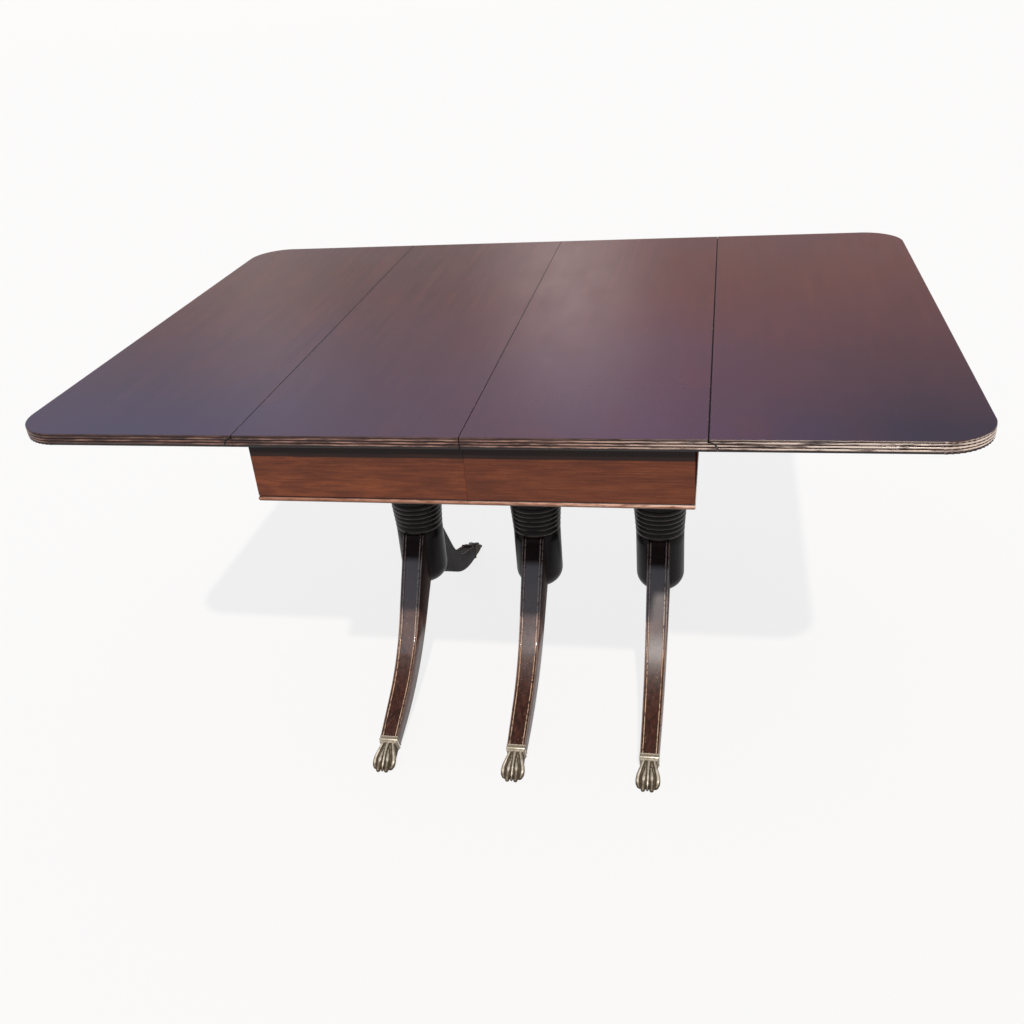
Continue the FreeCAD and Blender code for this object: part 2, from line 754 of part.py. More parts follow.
def leg_outer(depth=0.0):
    return swept_line((leg_top_out, leg_top_height), leg_top_slope,
                      (leg_end_distance, leg_end_height), leg_foot_slope, leg_bend_radius, depth)


def leg_under():
    return swept_line((leg_root_out, leg_root_height), leg_under_top_slope,
                      (leg_under_out, leg_under_height), leg_under_foot_slope, leg_under_bend_radius)


def tapered_plan(top_half, end_half, centre_top=0.0, centre_end=0.0):
    """Upright wedge that narrows from the column to the ankle."""
    y0 = 0.0
    y1 = -leg_end_distance - 2 * leg_panel_depth
    plan = polygon([
        vec(centre_top - top_half, y0, 0), vec(centre_top + top_half, y0, 0),
        vec(centre_end + end_half, y1, 0), vec(centre_end - end_half, y1, 0),
    ])
    return plan.extrude(vec(0, 0, leg_top_height * 2))


def outer_band(depth):
    """Sheet of wood just under the outer face of a leg, as wide as the leg and more."""
    upper, upper_start, upper_end = leg_outer(-overshoot)
    lower, lower_start, lower_end = leg_outer(depth)
    edges = upper + [line(upper_end, lower_end)] + lower + [line(lower_start, upper_start)]
    face = face_of(Part.__sortEdges__(edges))
    face.translate(vec(-leg_top_width, 0, 0))
    return face.extrude(vec(2 * leg_top_width, 0, 0))


def ankle_frame():
    """Middle of the leg's end face and the unit directions along the leg and square to it."""
    top = vec(0, -leg_end_distance, leg_end_height)
    low = vec(0, -leg_under_out, leg_under_height)
    across = top.sub(low).normalize()
    along = vec(0, -across.z, across.y)
    return (top + low) * 0.5, along, across, top.distanceToPoint(low)


def ankle_block(t0, t1, half_height, half_size):
    """Block in line with the ankle, from t0 to t1 past the leg's end face."""
    middle, along, across, _ = ankle_frame()
    corners = []
    for t, h in ((t0, -half_height), (t1, -half_height), (t1, half_height), (t0, half_height)):
        corners.append(middle + along * t + across * h + vec(-half_size, 0, 0))
    return polygon(corners).extrude(vec(2 * half_size, 0, 0))


def leg():
    """Front sabre leg: tapering, with a sunk panel between grooved rails on its outer face."""
    upper, upper_start, upper_end = leg_outer()
    lower, lower_start, lower_end = leg_under()
    head = vec(0, lower_start.y, upper_start.z)
    edges = upper + [line(upper_end, lower_end)] + lower
    edges += [line(lower_start, head), line(head, upper_start)]
    face = face_of(Part.__sortEdges__(edges))
    face.translate(vec(-leg_top_width, 0, 0))
    body = face.extrude(vec(2 * leg_top_width, 0, 0))
    body = body.common(tapered_plan(leg_top_width / 2, leg_end_width / 2))
    panel = outer_band(leg_panel_depth).common(
        tapered_plan(leg_top_width / 2 - leg_rail_width, leg_end_width / 2 - leg_rail_end_width))
    tools = [panel, drum(fit_clearance)]
    groove_band = outer_band(leg_groove_depth)
    for side in (-1, 1):
        place_top = side * (leg_top_width / 2 - leg_rail_width / 2)
        place_end = side * (leg_end_width / 2 - leg_rail_end_width / 2)
        wedge = tapered_plan(leg_groove_width / 2, leg_groove_width / 2, place_top, place_end)
        tools.append(groove_band.common(wedge))
    body = body.cut(tools)
    key_low = drum_bottom + drum_round / 2
    key = dovetail(fit_clearance, key_low, dovetail_top).cut(drum_outside())
    tenon = ankle_block(-overshoot, paw_socket_length - overshoot, paw_socket_height / 2, paw_socket_width / 2)
    return body.fuse([key, tenon]).removeSplitter()


def drum_outside():
    """Space outside the drum, past the clearance, which trims the dovetail key."""
    block = box(-drum_radius, drum_radius, -2 * drum_radius, 0, drum_bottom - drum_round, drum_top)
    return block.cut(drum(fit_clearance + overshoot))


def paw():
    """Front paw foot: cuff with a bead, flared foot, four toes parted by grooves."""
    middle, along, across, thickness = ankle_frame()
    cuff_half_height = thickness / 2 + paw_cuff_proud
    cuff_half_width = leg_end_width / 2 + paw_cuff_proud
    cuff = ankle_block(0.0, paw_cuff_length, cuff_half_height, cuff_half_width)
    bead_start = (paw_cuff_length - paw_bead_length) / 2
    bead = ankle_block(bead_start, bead_start + paw_bead_length, cuff_half_height + paw_bead_proud,
                       cuff_half_width + paw_bead_proud)

    def foot_edges(depth):
        top = middle + along * (paw_cuff_length - overshoot) + across * (thickness / 2 - depth)
        tip = vec(0, -paw_toe_reach + paw_toe_tuck + depth, paw_toe_height)
        crown_y = top.y + (tip.y - top.y) * paw_crown_share
        crown = vec(0, crown_y, (top.z + tip.z) / 2 + paw_crown_rise - depth)
        nose = vec(0, -paw_toe_reach + depth, paw_toe_height / 2)
        ball = vec(0, tip.y, 0)
        return [arc(top, crown, tip), arc(tip, nose, ball)], top, ball

    heel = middle + along * (paw_cuff_length - overshoot) - across * (thickness / 2)
    crest, top, ball = foot_edges(0.0)
    sole = vec(0, -paw_heel_reach, 0)
    side_face = face_of(crest + [line(ball, sole), line(sole, heel), line(heel, top)])
    side_face.translate(vec(-paw_flare_width, 0, 0))
    foot = side_face.extrude(vec(2 * paw_flare_width, 0, 0))
    half_ankle = leg_end_width / 2
    half_flare = paw_flare_width / 2
    half_tip = paw_tip_width / 2
    back = -leg_under_out
    front = -paw_toe_reach - overshoot
    plan = face_of([
        line(vec(-half_ankle, back, -overshoot), vec(half_ankle, back, -overshoot)),
        line(vec(half_ankle, back, -overshoot), vec(half_flare, -paw_flare_reach, -overshoot)),
        line(vec(half_flare, -paw_flare_reach, -overshoot), vec(half_tip, front, -overshoot)),
        line(vec(half_tip, front, -overshoot), vec(-half_tip, front, -overshoot)),
        line(vec(-half_tip, front, -overshoot), vec(-half_flare, -paw_flare_reach, -overshoot)),
        line(vec(-half_flare, -paw_flare_reach, -overshoot), vec(-half_ankle, back, -overshoot)),
    ])
    foot = foot.common(plan.extrude(vec(0, 0, 2 * leg_end_height)))

    low_crest, low_top, low_ball = foot_edges(paw_toe_groove_depth)
    rise = vec(0, 0, paw_flare_width)
    groove_face = face_of(low_crest + [line(low_ball, vec(0, front, 0)),
                                       line(vec(0, front, 0), vec(0, front, rise.z)),
                                       line(vec(0, front, rise.z), low_top + rise), line(low_top + rise, low_top)])
    groove_face.translate(vec(-paw_flare_width, 0, 0))
    above = groove_face.extrude(vec(2 * paw_flare_width, 0, 0))
    grooves = []
    for index in range(1, paw_toe_count):
        share = 2 * index / paw_toe_count - 1
        x0 = share * half_ankle
        x1 = share * half_flare
        half = paw_toe_groove / 2
        wedge = polygon([vec(x0 - half, back, -overshoot), vec(x0 + half, back, -overshoot),
                         vec(x1 + half, front - overshoot, -overshoot), vec(x1 - half, front - overshoot, -overshoot)])
        grooves.append(above.common(wedge.extrude(vec(0, 0, paw_flare_width))))
    foot = foot.cut(grooves)
    socket = ankle_block(-overshoot, paw_socket_length, paw_socket_height / 2 + fit_clearance,
                         paw_socket_width / 2 + fit_clearance)
    floor = box(-paw_flare_width, paw_flare_width, -paw_toe_reach, -leg_under_out + paw_cuff_length,
                -leg_end_height, 0.0)
    return foot.fuse([cuff, bead]).removeSplitter().cut([socket, floor])


os.makedirs("parts", exist_ok=True)

# Tops, leaves and hinges
right_top = fixed_top(seam_pin_radius + seam_pin_clearance, seam_pin_reach + seam_pin_end_gap)
left_top = mirror_x(fixed_top(seam_pin_radius + fit_clearance, seam_pin_seat))
save("top_right", right_top)
save("top_left", left_top)
right_leaf = leaf()
save("leaf_right", right_leaf)
save("leaf_left", mirror_x(right_leaf))
hinge_sets = {
    "hinge_top_plates": [hinge_top_plate(y) for y in hinge_places],
    "hinge_leaf_plates": [hinge_leaf_plate(y) for y in hinge_places],
    "hinge_pins": [hinge_pin(y) for y in hinge_places],
}
for name, solids in hinge_sets.items():
    save(name + "_right", *solids)
    save(name + "_left", *[mirror_x(solid) for solid in solids])

# Apron frames
front_rail = apron_front()
end_rail = apron_end()
strips = beads()
block = corner_block()
for name, solids in {
    "apron_front": [front_rail],
    "apron_rear": [mirror_y(front_rail)],
    "apron_end": [end_rail],
    "bead": strips,
    "corner_blocks": [block, mirror_y(block)],
    "loper_guides": loper_guides(),
}.items():
    save(name + "_right", *solids)
    save(name + "_left", *[mirror_x(solid) for solid in solids])

# Slides
for name, rail in (("slides_left", slide_half_rail(-1)), ("slides_right", slide_half_rail(1)),
                   ("slides_centre", slide_centre_rail())):
    save(name, mirror_y(rail), rail)
stop_pins = slide_stop_pins()
save("slide_stop_pins", *stop_pins, *[mirror_y(pin) for pin in stop_pins])

# Lopers and their pegs
for name, solid in (("loper", loper()), ("loper_peg", loper_peg())):
    save(name + "_right_front", solid)
    save(name + "_right_rear", mirror_y(solid))
    save(name + "_left_front", mirror_x(solid))
    save(name + "_left_rear", mirror_x(mirror_y(solid)))

# Seam pins and locks
save("seam_pins", *seam_pins())
save("lock_bases", *[lock_base(y) for y in lock_places])
save("lock_keepers", *[lock_keeper(y) for y in lock_places])
for name, y in zip(("lock_lever_front", "lock_lever_rear"), lock_places):
    save(name, lock_lever(y))

# Pedestals
half_bearer = bearer(apron_front_inner, half_bearer_top)
cleat = bearer_cleat()
for name, place in (("left", -pedestal_place), ("right", pedestal_place)):
    save("bearer_" + name, moved(half_bearer, place))
    save("bearer_cleats_" + name, moved(cleat, place), moved(mirror_y(cleat), place))
save("bearer_centre", bearer(centre_bearer_half, centre_slide_bottom))
front_leg = leg()
front_paw = paw()
for name, place, has_rear_leg in (("left", -pedestal_place, True), ("centre", 0.0, False),
                                  ("right", pedestal_place, True)):
    save("column_" + name, moved(column(has_rear_leg), place))
    save("leg_" + name + "_front", moved(front_leg, place))
    save("paw_" + name + "_front", moved(front_paw, place))
    if has_rear_leg:
        save("leg_" + name + "_rear", moved(mirror_y(front_leg), place))
        save("paw_" + name + "_rear", moved(mirror_y(front_paw), place))
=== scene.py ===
import math
import bmesh
import bpy
from mathutils import Matrix, Vector


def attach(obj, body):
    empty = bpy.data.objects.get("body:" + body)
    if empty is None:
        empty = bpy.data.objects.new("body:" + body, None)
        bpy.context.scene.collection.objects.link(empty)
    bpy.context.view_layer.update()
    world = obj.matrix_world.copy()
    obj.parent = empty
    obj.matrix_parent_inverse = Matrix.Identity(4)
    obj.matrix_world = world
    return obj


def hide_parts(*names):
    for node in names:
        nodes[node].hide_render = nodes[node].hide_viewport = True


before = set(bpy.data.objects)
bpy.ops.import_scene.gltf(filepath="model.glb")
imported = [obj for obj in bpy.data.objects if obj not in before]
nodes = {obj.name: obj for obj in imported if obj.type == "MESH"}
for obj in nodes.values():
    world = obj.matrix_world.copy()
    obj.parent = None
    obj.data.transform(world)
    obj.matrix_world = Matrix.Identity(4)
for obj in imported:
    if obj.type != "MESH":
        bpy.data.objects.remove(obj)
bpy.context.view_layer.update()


# Columns
# Three lathe turnings of mahogany, ebonised and polished, stand in a row and carry the table.
# Each has a drum with a rounded foot, a collar of turned rings, an urn, a neck and a cap under its bearer.

mm = 0.001
pedestals = {"left": -250, "centre": 0, "right": 250}
pedestal_body = {"left": "left_half", "centre": "centre_support", "right": "right_half"}
drum_radius = 48
drum_bottom = 175
drum_top = 307
drum_round = 36
ring_depth = 1.6
first_ring = 13
ring_pitch = 10.4
ring_count = 5
collar_radius = 52.5
cap_radius = 34
tenon_radius = 18
column_top = 660.8
painted_shade_from = 170
painted_shade_to = 250
bared_light_top = 320
turns = 96


def linear(code):
    """An sRGB hex colour as linear red, green, blue and alpha."""
    channels = [int(code[i:i + 2], 16) / 255 for i in (1, 3, 5)]
    return [c / 12.92 if c <= 0.04045 else ((c + 0.055) / 1.055) ** 2.4 for c in channels] + [1.0]


def add_node(tree, kind, links=None, stops=None, **settings):
    """Add a shader node; links gives its sockets values, outputs or nodes, and stops gives its ramp."""
    made = tree.nodes.new("ShaderNode" + kind)
    for name, value in settings.items():
        setattr(made, name, value)
    for index, (place, code) in enumerate(stops or ()):
        if index >= len(made.color_ramp.elements):
            made.color_ramp.elements.new(1.0)
        made.color_ramp.elements[index].position = place
        made.color_ramp.elements[index].color = linear(code)
    for socket, value in (links or {}).items():
        if isinstance(value, bpy.types.Node):
            value = next(output for output in value.outputs if output.enabled)
        if isinstance(value, bpy.types.NodeSocket):
            tree.links.new(value, made.inputs[socket])
        else:
            made.inputs[socket].default_value = value
    return made


def new_material(name):
    """An empty material and its tree."""
    material = bpy.data.materials.new(name)
    material.use_nodes = True
    material.node_tree.nodes.clear()
    return material, material.node_tree


def surface(tree, links):
    """The shader that ends a material's tree."""
    shader = add_node(tree, "BsdfPrincipled", links)
    add_node(tree, "OutputMaterial", {"Surface": shader})


def streaks(tree, along, width, length, detail=3.0, shift=0.0, swirl=0.0):
    """Noise drawn out along one axis as grain is; width and length in millimetres."""
    sizes = [width * mm] * 3
    sizes["XYZ".index(along)] = length * mm
    place = add_node(tree, "TexCoord").outputs["Object"]
    drawn = add_node(tree, "Mapping", {"Vector": place, "Location": [shift] * 3,
                                       "Scale": [1 / size for size in sizes]})
    return add_node(tree, "TexNoise", {"Vector": drawn, "Scale": 1.0, "Detail": detail, "Distortion": swirl})


def patches(tree, low, high, most, *grain):
    """Where streaks rise from low to high, as a share from 0 to a limit."""
    return add_node(tree, "MapRange", {"Value": streaks(tree, *grain), "From Min": low, "From Max": high,
                                       "To Max": most})


def layered(tree, colour, *layers):
    """A colour with others laid over it in turn, each given as its share and a hex colour or a node."""
    for share, over in layers:
        if isinstance(over, str):
            over = linear(over)
        # A Mix node takes its share in socket 0 and its two colours in 6 and 7
        colour = add_node(tree, "Mix", {0: share, 6: colour, 7: over}, data_type="RGBA")
    return colour


def ebonised_mahogany(name, along, tones, gloss, mirror, rub, change=(145, 175), coat=(0.0, 0.0)):
    """Mahogany stained near black and polished: a soft gloss, brown showing through, beads worn pale.

    Above one height the colour is darkened towards black, a painted shade, and the colour of the worn beads
    changes with height: cream low down, orange in the middle where the sun falls, pale grey higher up in
    shade, partly painted light. Mirror and coat change from the first to the second value between two
    heights, a painted reflection: more of it low down, less higher up where shade falls. Real pores are about
    0.2 mm wide; here and in the other woods they are drawn coarser, so that they show.
    """
    material, tree = new_material(name)
    place = add_node(tree, "TexCoord").outputs["Object"]
    height = add_node(tree, "SeparateXYZ", {"Vector": place}).outputs["Z"]
    grain = add_node(tree, "ValToRGB", {"Fac": streaks(tree, along, 5, 70, 4.0)},
                     stops=list(zip((0.35, 0.52, 0.68), tones)))
    rubbed = patches(tree, 0.55, 0.75, 0.6, along, 45, 80, 2.0, 7.0)
    flecks = patches(tree, 0.71, 0.74, 1.0, along, 2.6, 4, 1.0, 3.0)
    # Painted shade: darker towards black from this height up, where the table's shade falls
    painted_shade = add_node(tree, "MapRange", {"Value": height, "From Min": painted_shade_from * mm,
                                          "From Max": painted_shade_to * mm, "To Max": 0.75})
    # The bared colour by height is partly painted light: orange in the middle, where the sun falls, pale grey
    # higher up in shade
    level = add_node(tree, "MapRange", {"Value": height, "From Max": bared_light_top * mm})
    bared_and_painted_light = add_node(tree, "ValToRGB", {"Fac": level},
                     stops=[(0.12, "#dcc0a2"), (0.4, "#cf9c72"), (0.62, "#cdbeb5")])
    worn = add_node(tree, "Attribute", attribute_name="wear").outputs["Fac"]
    broken = patches(tree, 0.32, 0.5, 1.0, along, rub[0], rub[1], 3.0, 11.0)
    worn_lines = add_node(tree, "Math", {0: worn, 1: broken}, operation="MULTIPLY")
    colour = layered(tree, grain, (rubbed, tones[3]), (flecks, "#8a6a5a"), (painted_shade, "#121012"),
                     (worn_lines, bared_and_painted_light))
    rough = add_node(tree, "MapRange", {"Value": streaks(tree, along, 9, 30, 3.0, 5.0), "To Min": gloss[0],
                                        "To Max": gloss[1]})
    pores = add_node(tree, "Bump", {"Height": streaks(tree, along, 0.9, 9, 2.0), "Distance": 0.1 * mm,
                                    "Strength": 0.5})
    spans = []
    # Mirror and coat by height are a painted reflection: less reflection up in the shade
    for low, high in (mirror, coat):
        spread = {"Value": height, "From Min": change[0] * mm, "From Max": change[1] * mm, "To Min": low,
                  "To Max": high}
        spans.append(low if low == high else add_node(tree, "MapRange", spread))
    surface(tree, {"Base Color": colour, "Roughness": rough, "Normal": pores, "Specular IOR Level": spans[0],
                   "Coat Weight": spans[1], "Coat Roughness": 0.06, "Coat IOR": 1.7})
    return material


def make_piece(name, points, faces, material, body):
    """A smooth mesh piece from points in millimetres, riding on a body."""
    mesh = bpy.data.meshes.new(name)
    mesh.from_pydata([Vector(p) * mm for p in points], [], faces)
    mesh.materials.append(material)
    mesh.polygons.foreach_set("use_smooth", [True] * len(mesh.polygons))
    mesh.update()
    piece = bpy.data.objects.new(name, mesh)
    bpy.context.scene.collection.objects.link(piece)
    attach(piece, body)
    return piece


def arc_points(centre, radius, start, end, count):
    """Points on an arc in a plane, angles in degrees."""
    angles = [math.radians(start + (end - start) * i / count) for i in range(count + 1)]
    return [(centre[0] + radius * math.cos(a), centre[1] + radius * math.sin(a)) for a in angles]


def ring_points(low, high, crest, depth):
    """A turned ring's outline, round in the middle and steep at its grooves."""
    shares = [-1, -0.93, -0.8, -0.55, -0.25, 0, 0.25, 0.55, 0.8, 0.93]
    middle = (low + high) / 2
    return [(crest - depth * abs(s) ** 3, middle + s * (high - low) / 2) for s in shares]


def ring_faces(rings, steps):
    """Faces between rings of points that follow each other."""
    faces = []
    for level in range(rings - 1):
        for step in range(steps):
            after = (step + 1) % steps
            faces.append((level * steps + step, level * steps + after,
                          (level + 1) * steps + after, (level + 1) * steps + step))
    return faces


def lathe(profile, steps, x=0):
    """Points and faces of a profile of (radius, height) turned about an upright axis."""
    points = []
    for radius, height in profile:
        for step in range(steps):
            angle = 2 * math.pi * step / steps
            points.append((x + radius * math.cos(angle), radius * math.sin(angle), height))
    return points, ring_faces(len(profile), steps)


# Outline from the drum's foot to the cap as (radius, height), and how much pale line colour each ring takes
# along its outline
ring_pale_lines = [0, 0, 0.15, 0.4, 0.1, 0, 0, 0, 0, 0]
column_profile = [(0.01, drum_bottom), (drum_radius - drum_round, drum_bottom)]
column_profile += arc_points((drum_radius - drum_round, drum_bottom + drum_round), drum_round, -84, 0, 12)
column_profile += [(drum_radius, drum_bottom + 60), (drum_radius, drum_top - 20),
                   (drum_radius, drum_top - 1.2), (drum_radius - 0.8, drum_top - 0.3)]
column_pale_lines = [0] * len(column_profile)
ring_low = drum_top
for ring in range(ring_count + 1):
    ring_high = ring_low + (first_ring if ring == 0 else ring_pitch)
    crest = drum_radius + (collar_radius - drum_radius) * (ring + 1) / (ring_count + 1)
    column_profile += ring_points(ring_low, ring_high, crest, ring_depth)
    column_pale_lines += ring_pale_lines
    ring_low = ring_high
urn = [(50.9, 0), (52.8, 10), (53.5, 22), (52.7, 33), (49.8, 44), (47.5, 50), (41.2, 63), (34.8, 84),
       (30, 112), (27.6, 142), (27, 167), (28, 202), (30, 261)]
column_profile += [(radius, ring_low + height) for radius, height in urn]
column_profile += [(30.5, 634), (32, 638), (cap_radius, 641), (cap_radius, 644), (cap_radius, column_top),
                   (tenon_radius, column_top)]
column_pale_lines += [0] * (len(column_profile) - len(column_pale_lines))

turning_tones = ("#150d0d", "#1d1110", "#271614", "#2c1b17")
ebonised_turning = ebonised_mahogany("ebonised mahogany, turned", "Z", turning_tones, gloss=(0.28, 0.42),
                                     mirror=(0.14, 0.14), rub=(30, 5))
for name, place in pedestals.items():
    points, faces = lathe(column_profile, turns, place)
    column = make_piece("column_turning_" + name, points, faces, ebonised_turning, pedestal_body[name])
    wear = column.data.attributes.new("wear", "FLOAT", "POINT")
    wear.data.foreach_set("value", [share for share in column_pale_lines for _ in range(turns)])
    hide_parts("column_" + name)


# Legs
# Five sabre legs, sawn from mahogany to a swept curve and ebonised, are dovetailed into the drums.
# The outer face has a sunk panel between double beads, narrower at the ankle and worn on their crests.

leg_outer = {"start": (50.5, 306), "slope": 54.2, "end": (357, 36), "end_slope": 22, "bend": 290}
leg_under = {"start": (31, 199.5), "slope": 43.7, "end": (347, 8), "end_slope": 14.5, "bend": 480}
leg_head = ((43, 306.0, 0), (48.8, 305.8, 12), (50.7, 305.1, 30), (52, 303.9, 45))
leg_reach = 362
leg_widths = (45, 34.5)
rail_widths = (8, 6)
panel_depth = 2.5
head_round = 4
head_arris = 0.6
under_arris = 0.8
station_count = 72
legs = {"left_front": (-250, 1, "left_half"), "left_rear": (-250, -1, "left_half"),
        "centre_front": (0, 1, "centre_support"),
        "right_front": (250, 1, "right_half"), "right_rear": (250, -1, "right_half")}


def sabre_curve(shape, count):
    """Points of a falling curve, straight then bent then straight, and their slopes in radians."""
    a0 = math.radians(shape["slope"])
    a1 = math.radians(shape["end_slope"])
    start = Vector(shape["start"])
    end = Vector(shape["end"])
    m0, m1 = math.tan(a0), math.tan(a1)
    out = (start.y - end.y + m0 * start.x - m1 * end.x) / (m0 - m1)
    corner = Vector((out, start.y - m0 * (out - start.x)))
    bend = shape["bend"]
    tangent = bend * math.tan((a0 - a1) / 2)
    first = (corner - start).length - tangent
    bent = bend * (a0 - a1)
    last = (end - corner).length - tangent
    total = first + bent + last
    bend_start = start + Vector((math.cos(a0), -math.sin(a0))) * first
    centre = bend_start + Vector((math.sin(a0), math.cos(a0))) * bend
    found = []
    for i in range(count + 1):
        run = total * i / count
        if run < first:
            found.append((start + Vector((math.cos(a0), -math.sin(a0))) * run, a0))
        elif run < first + bent:
            slope = a0 - (run - first) / bend
            found.append((centre - Vector((math.sin(slope), math.cos(slope))) * bend, slope))
        else:
            found.append((end - Vector((math.cos(a1), -math.sin(a1))) * (total - run), a1))
    return found


def moulded_face(half, rail, edge_wear):
    """The outer face from edge to edge as (across, depth, wear): two beads, the sunk panel, two beads."""
    beads = ((0.0, 1.0, 0.0), (0.07, 0.35, 0.3 * edge_wear), (0.17, 0.0, edge_wear),
             (0.27, 0.35, 0.2 * edge_wear), (0.34, 1.0, 0.0), (0.41, 1.4, 0.0), (0.57, 1.4, 0.0),
             (0.63, 0.9, 0.0), (0.71, 0.25, 0.5), (0.8, 0.0, 1.0), (0.9, 0.25, 0.9), (1.0, 1.2, 0.0))
    left = [(-half + share * rail, depth, wear) for share, depth, wear in beads]
    left += [(-half + rail + 0.3, panel_depth, 0.0), (-half + rail + 1.2, panel_depth, 0.0)]
    left.append((-half * 0.35, panel_depth, 0.0))
    return left + [(-across, depth, wear) for across, depth, wear in reversed(left)]


outer_line = sabre_curve(leg_outer, station_count)
under_line = sabre_curve(leg_under, station_count)
stations = []
for index, (out, height, slope) in enumerate(leg_head):
    stations.append((Vector((out, height)), math.radians(slope), under_line[0][0], index / len(leg_head)))
for (outer, slope), (under, _) in zip(outer_line, under_line):
    if (outer - outer_line[0][0]).length > head_round:
        stations.append((outer, slope, under, 1.0))

leg_points = []
leg_wear = []
for outer, slope, under, moulded in stations:
    share = min(1.0, outer.x / leg_reach)
    half = (leg_widths[0] + (leg_widths[1] - leg_widths[0]) * share) / 2
    rail = rail_widths[0] + (rail_widths[1] - rail_widths[0]) * share
    inward = Vector((-math.sin(slope), -math.cos(slope)))
    side = (under - outer).normalized()
    section = []
    # The outer beads are rubbed less towards the ankle
    edge_wear = 1.0 - 0.55 * min(1.0, max(0.0, (share - 0.35) / 0.3))
    for across, depth, wear in moulded_face(half, rail, edge_wear):
        flat_depth = head_arris if abs(abs(across) - half) < 0.01 else 0.0
        sunk = flat_depth + (depth - flat_depth) * moulded
        section.append((across, outer + inward * sunk, wear * moulded))
    low = under - side * under_arris
    section += [(half, low, 0.0), (half - under_arris, under, 0.0), (under_arris - half, under, 0.0),
                (-half, low, 0.0)]
    for across, point, wear in section:
        leg_points.append((across, -point.x, point.y))
        leg_wear.append(wear)

# Faces of the two ends, then of each stretch round the leg, and which of the leg's materials each shows
around = len(leg_points) // len(stations)
leg_faces = [tuple(range(around)), tuple(reversed(range(len(leg_points) - around, len(leg_points))))]
leg_faces += [(b, a, d, c) for a, b, c, d in ring_faces(len(stations), around)]
outer_wood, side_wood, dull_shaded_wood = 0, 1, 2
# The last five faces of a stretch are a side, an arris, the underside, an arris and the other side
last_woods = [side_wood, dull_shaded_wood, dull_shaded_wood, dull_shaded_wood, side_wood]
stretch_woods = [outer_wood] * (around - len(last_woods)) + last_woods
leg_woods = [dull_shaded_wood] * 2 + stretch_woods * (len(stations) - 1)

# Three copies of the ebonised wood: the polished face; the sides in lighter tones, painted light of the sun
# on them; and a dull copy in darker tones, painted shade, for the undersides, the arrises and the rear legs,
# which stand in shade under the table
face_tones = ("#2a1612", "#3d211a", "#4d2c23", "#5a382b")
side_lit_tones = ("#3c2019", "#58332b", "#673d32", "#6f4b3b")
dull_shaded_tones = ("#100909", "#170d0c", "#1f1210", "#241612")
ebonised_face = ebonised_mahogany("ebonised mahogany, polished face", "Y", face_tones, gloss=(0.26, 0.42),
                                  mirror=(0.7, 0.15), rub=(4, 40), change=(258, 270), coat=(0.9, 0.0))
ebonised_side_lit = ebonised_mahogany("ebonised mahogany, sides", "Y", side_lit_tones, gloss=(0.3, 0.45),
                                  mirror=(0.42, 0.03), rub=(4, 40), change=(112, 132))
ebonised_shaded = ebonised_mahogany("ebonised mahogany, dull", "Y", dull_shaded_tones, gloss=(0.45, 0.6),
                                  mirror=(0.03, 0.03), rub=(4, 40))
for name, (place, facing, body) in legs.items():
    points = [(place + facing * x, facing * y, z) for x, y, z in leg_points]
    # The rear legs take the dark dull copy all over: painted shade
    face_wood = ebonised_face if facing == 1 else ebonised_shaded
    leg = make_piece("leg_sabre_" + name, points, leg_faces, face_wood, body)
    leg.data.materials.append(ebonised_side_lit if facing == 1 else ebonised_shaded)
    leg.data.materials.append(ebonised_shaded)
    leg.data.polygons.foreach_set("material_index", leg_woods)
    wear = leg.data.attributes.new("wear", "FLOAT", "POINT")
    wear.data.foreach_set("value", leg_wear)
    leg.data.set_sharp_from_angle(angle=math.radians(50))
    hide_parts("leg_" + name)


# Paw feet
# Cast brass feet, one on each ankle: a square cuff with two beads, then tendons that fan out into toes.
# The brass is old and uncleaned, pale where it is rubbed and brown in the hollows; painted shade darkens the
# flanks turned from the light, the toe fronts and the whole of the rear paws.

ankle_top = Vector((0, -357, 36))
ankle_low = Vector((0, -347, 8))
cuff_half = 17.0
cuff_corner = 1.6
cuff_overlap = 3
sole_lift = 0.05
weld_size = 0.7

ankle_middle = (ankle_top + ankle_low) / 2
ankle_across = (ankle_top - ankle_low).normalized()
ankle_along = Vector((0, -ankle_across.z, ankle_across.y))
ankle_half = (ankle_top - ankle_low).length / 2

# Cuff stations: place along the ankle, how far proud, and how much dirt lies there
cuff_stations = ((0, 0.3, 0.6), (0.3, 0.8, 0.6), (1.0, 1.1, 0.45), (1.8, 0.8, 0.6), (2.2, 0.3, 0.8),
                 (3.4, 0.0, 0.8), (5.2, 0.1, 0.7), (6.0, 0.7, 0.3), (6.8, 1.2, 0.0), (7.8, 1.4, 0.0),
                 (8.8, 1.2, 0.0), (9.5, 0.6, 0.4), (10.2, 0.1, 0.8), (12.0, -0.3, 0.6), (14.0, -0.6, 0.4))

# The foot's core under the tendons as (out, half width, height)
core_stations = ((384, 16.5, 22.0), (396, 18.5, 16.0), (407, 19.0, 9.5), (413, 16.5, 6.0))

# Ridges as (across, out, height, radius) from the cuff to the toe
outer_ridge = ((9.2, 364, 28.2, 2.9), (10.8, 372, 26.4, 2.7), (14.4, 383, 21.4, 3.1), (17.6, 393, 15.6, 3.8),
               (18.5, 401, 10.5, 4.3), (17.6, 407, 6.5, 4.4), (16.0, 411, 4.4, 3.6))
inner_toe = ((4.6, 383, 23.0, 1.6), (5.6, 390, 21.5, 2.6), (7.2, 400, 17.0, 3.8), (8.0, 409, 11.4, 4.4),
             (8.0, 415, 7.4, 4.6), (7.8, 419.2, 5.2, 4.2))
middle_ridge = ((0, 365, 29.4, 3.2), (0, 372, 28.2, 3.0), (0, 384, 25.0, 2.4), (0, 397, 19.8, 2.3),
                (0, 408, 13.6, 2.3), (0, 415, 8.6, 2.4), (0, 418.5, 4.4, 2.4))
ridges = [middle_ridge]
for side in (-1, 1):
    for ridge in (outer_ridge, inner_toe):
        ridges.append([(side * across, out, height, radius) for across, out, height, radius in ridge])


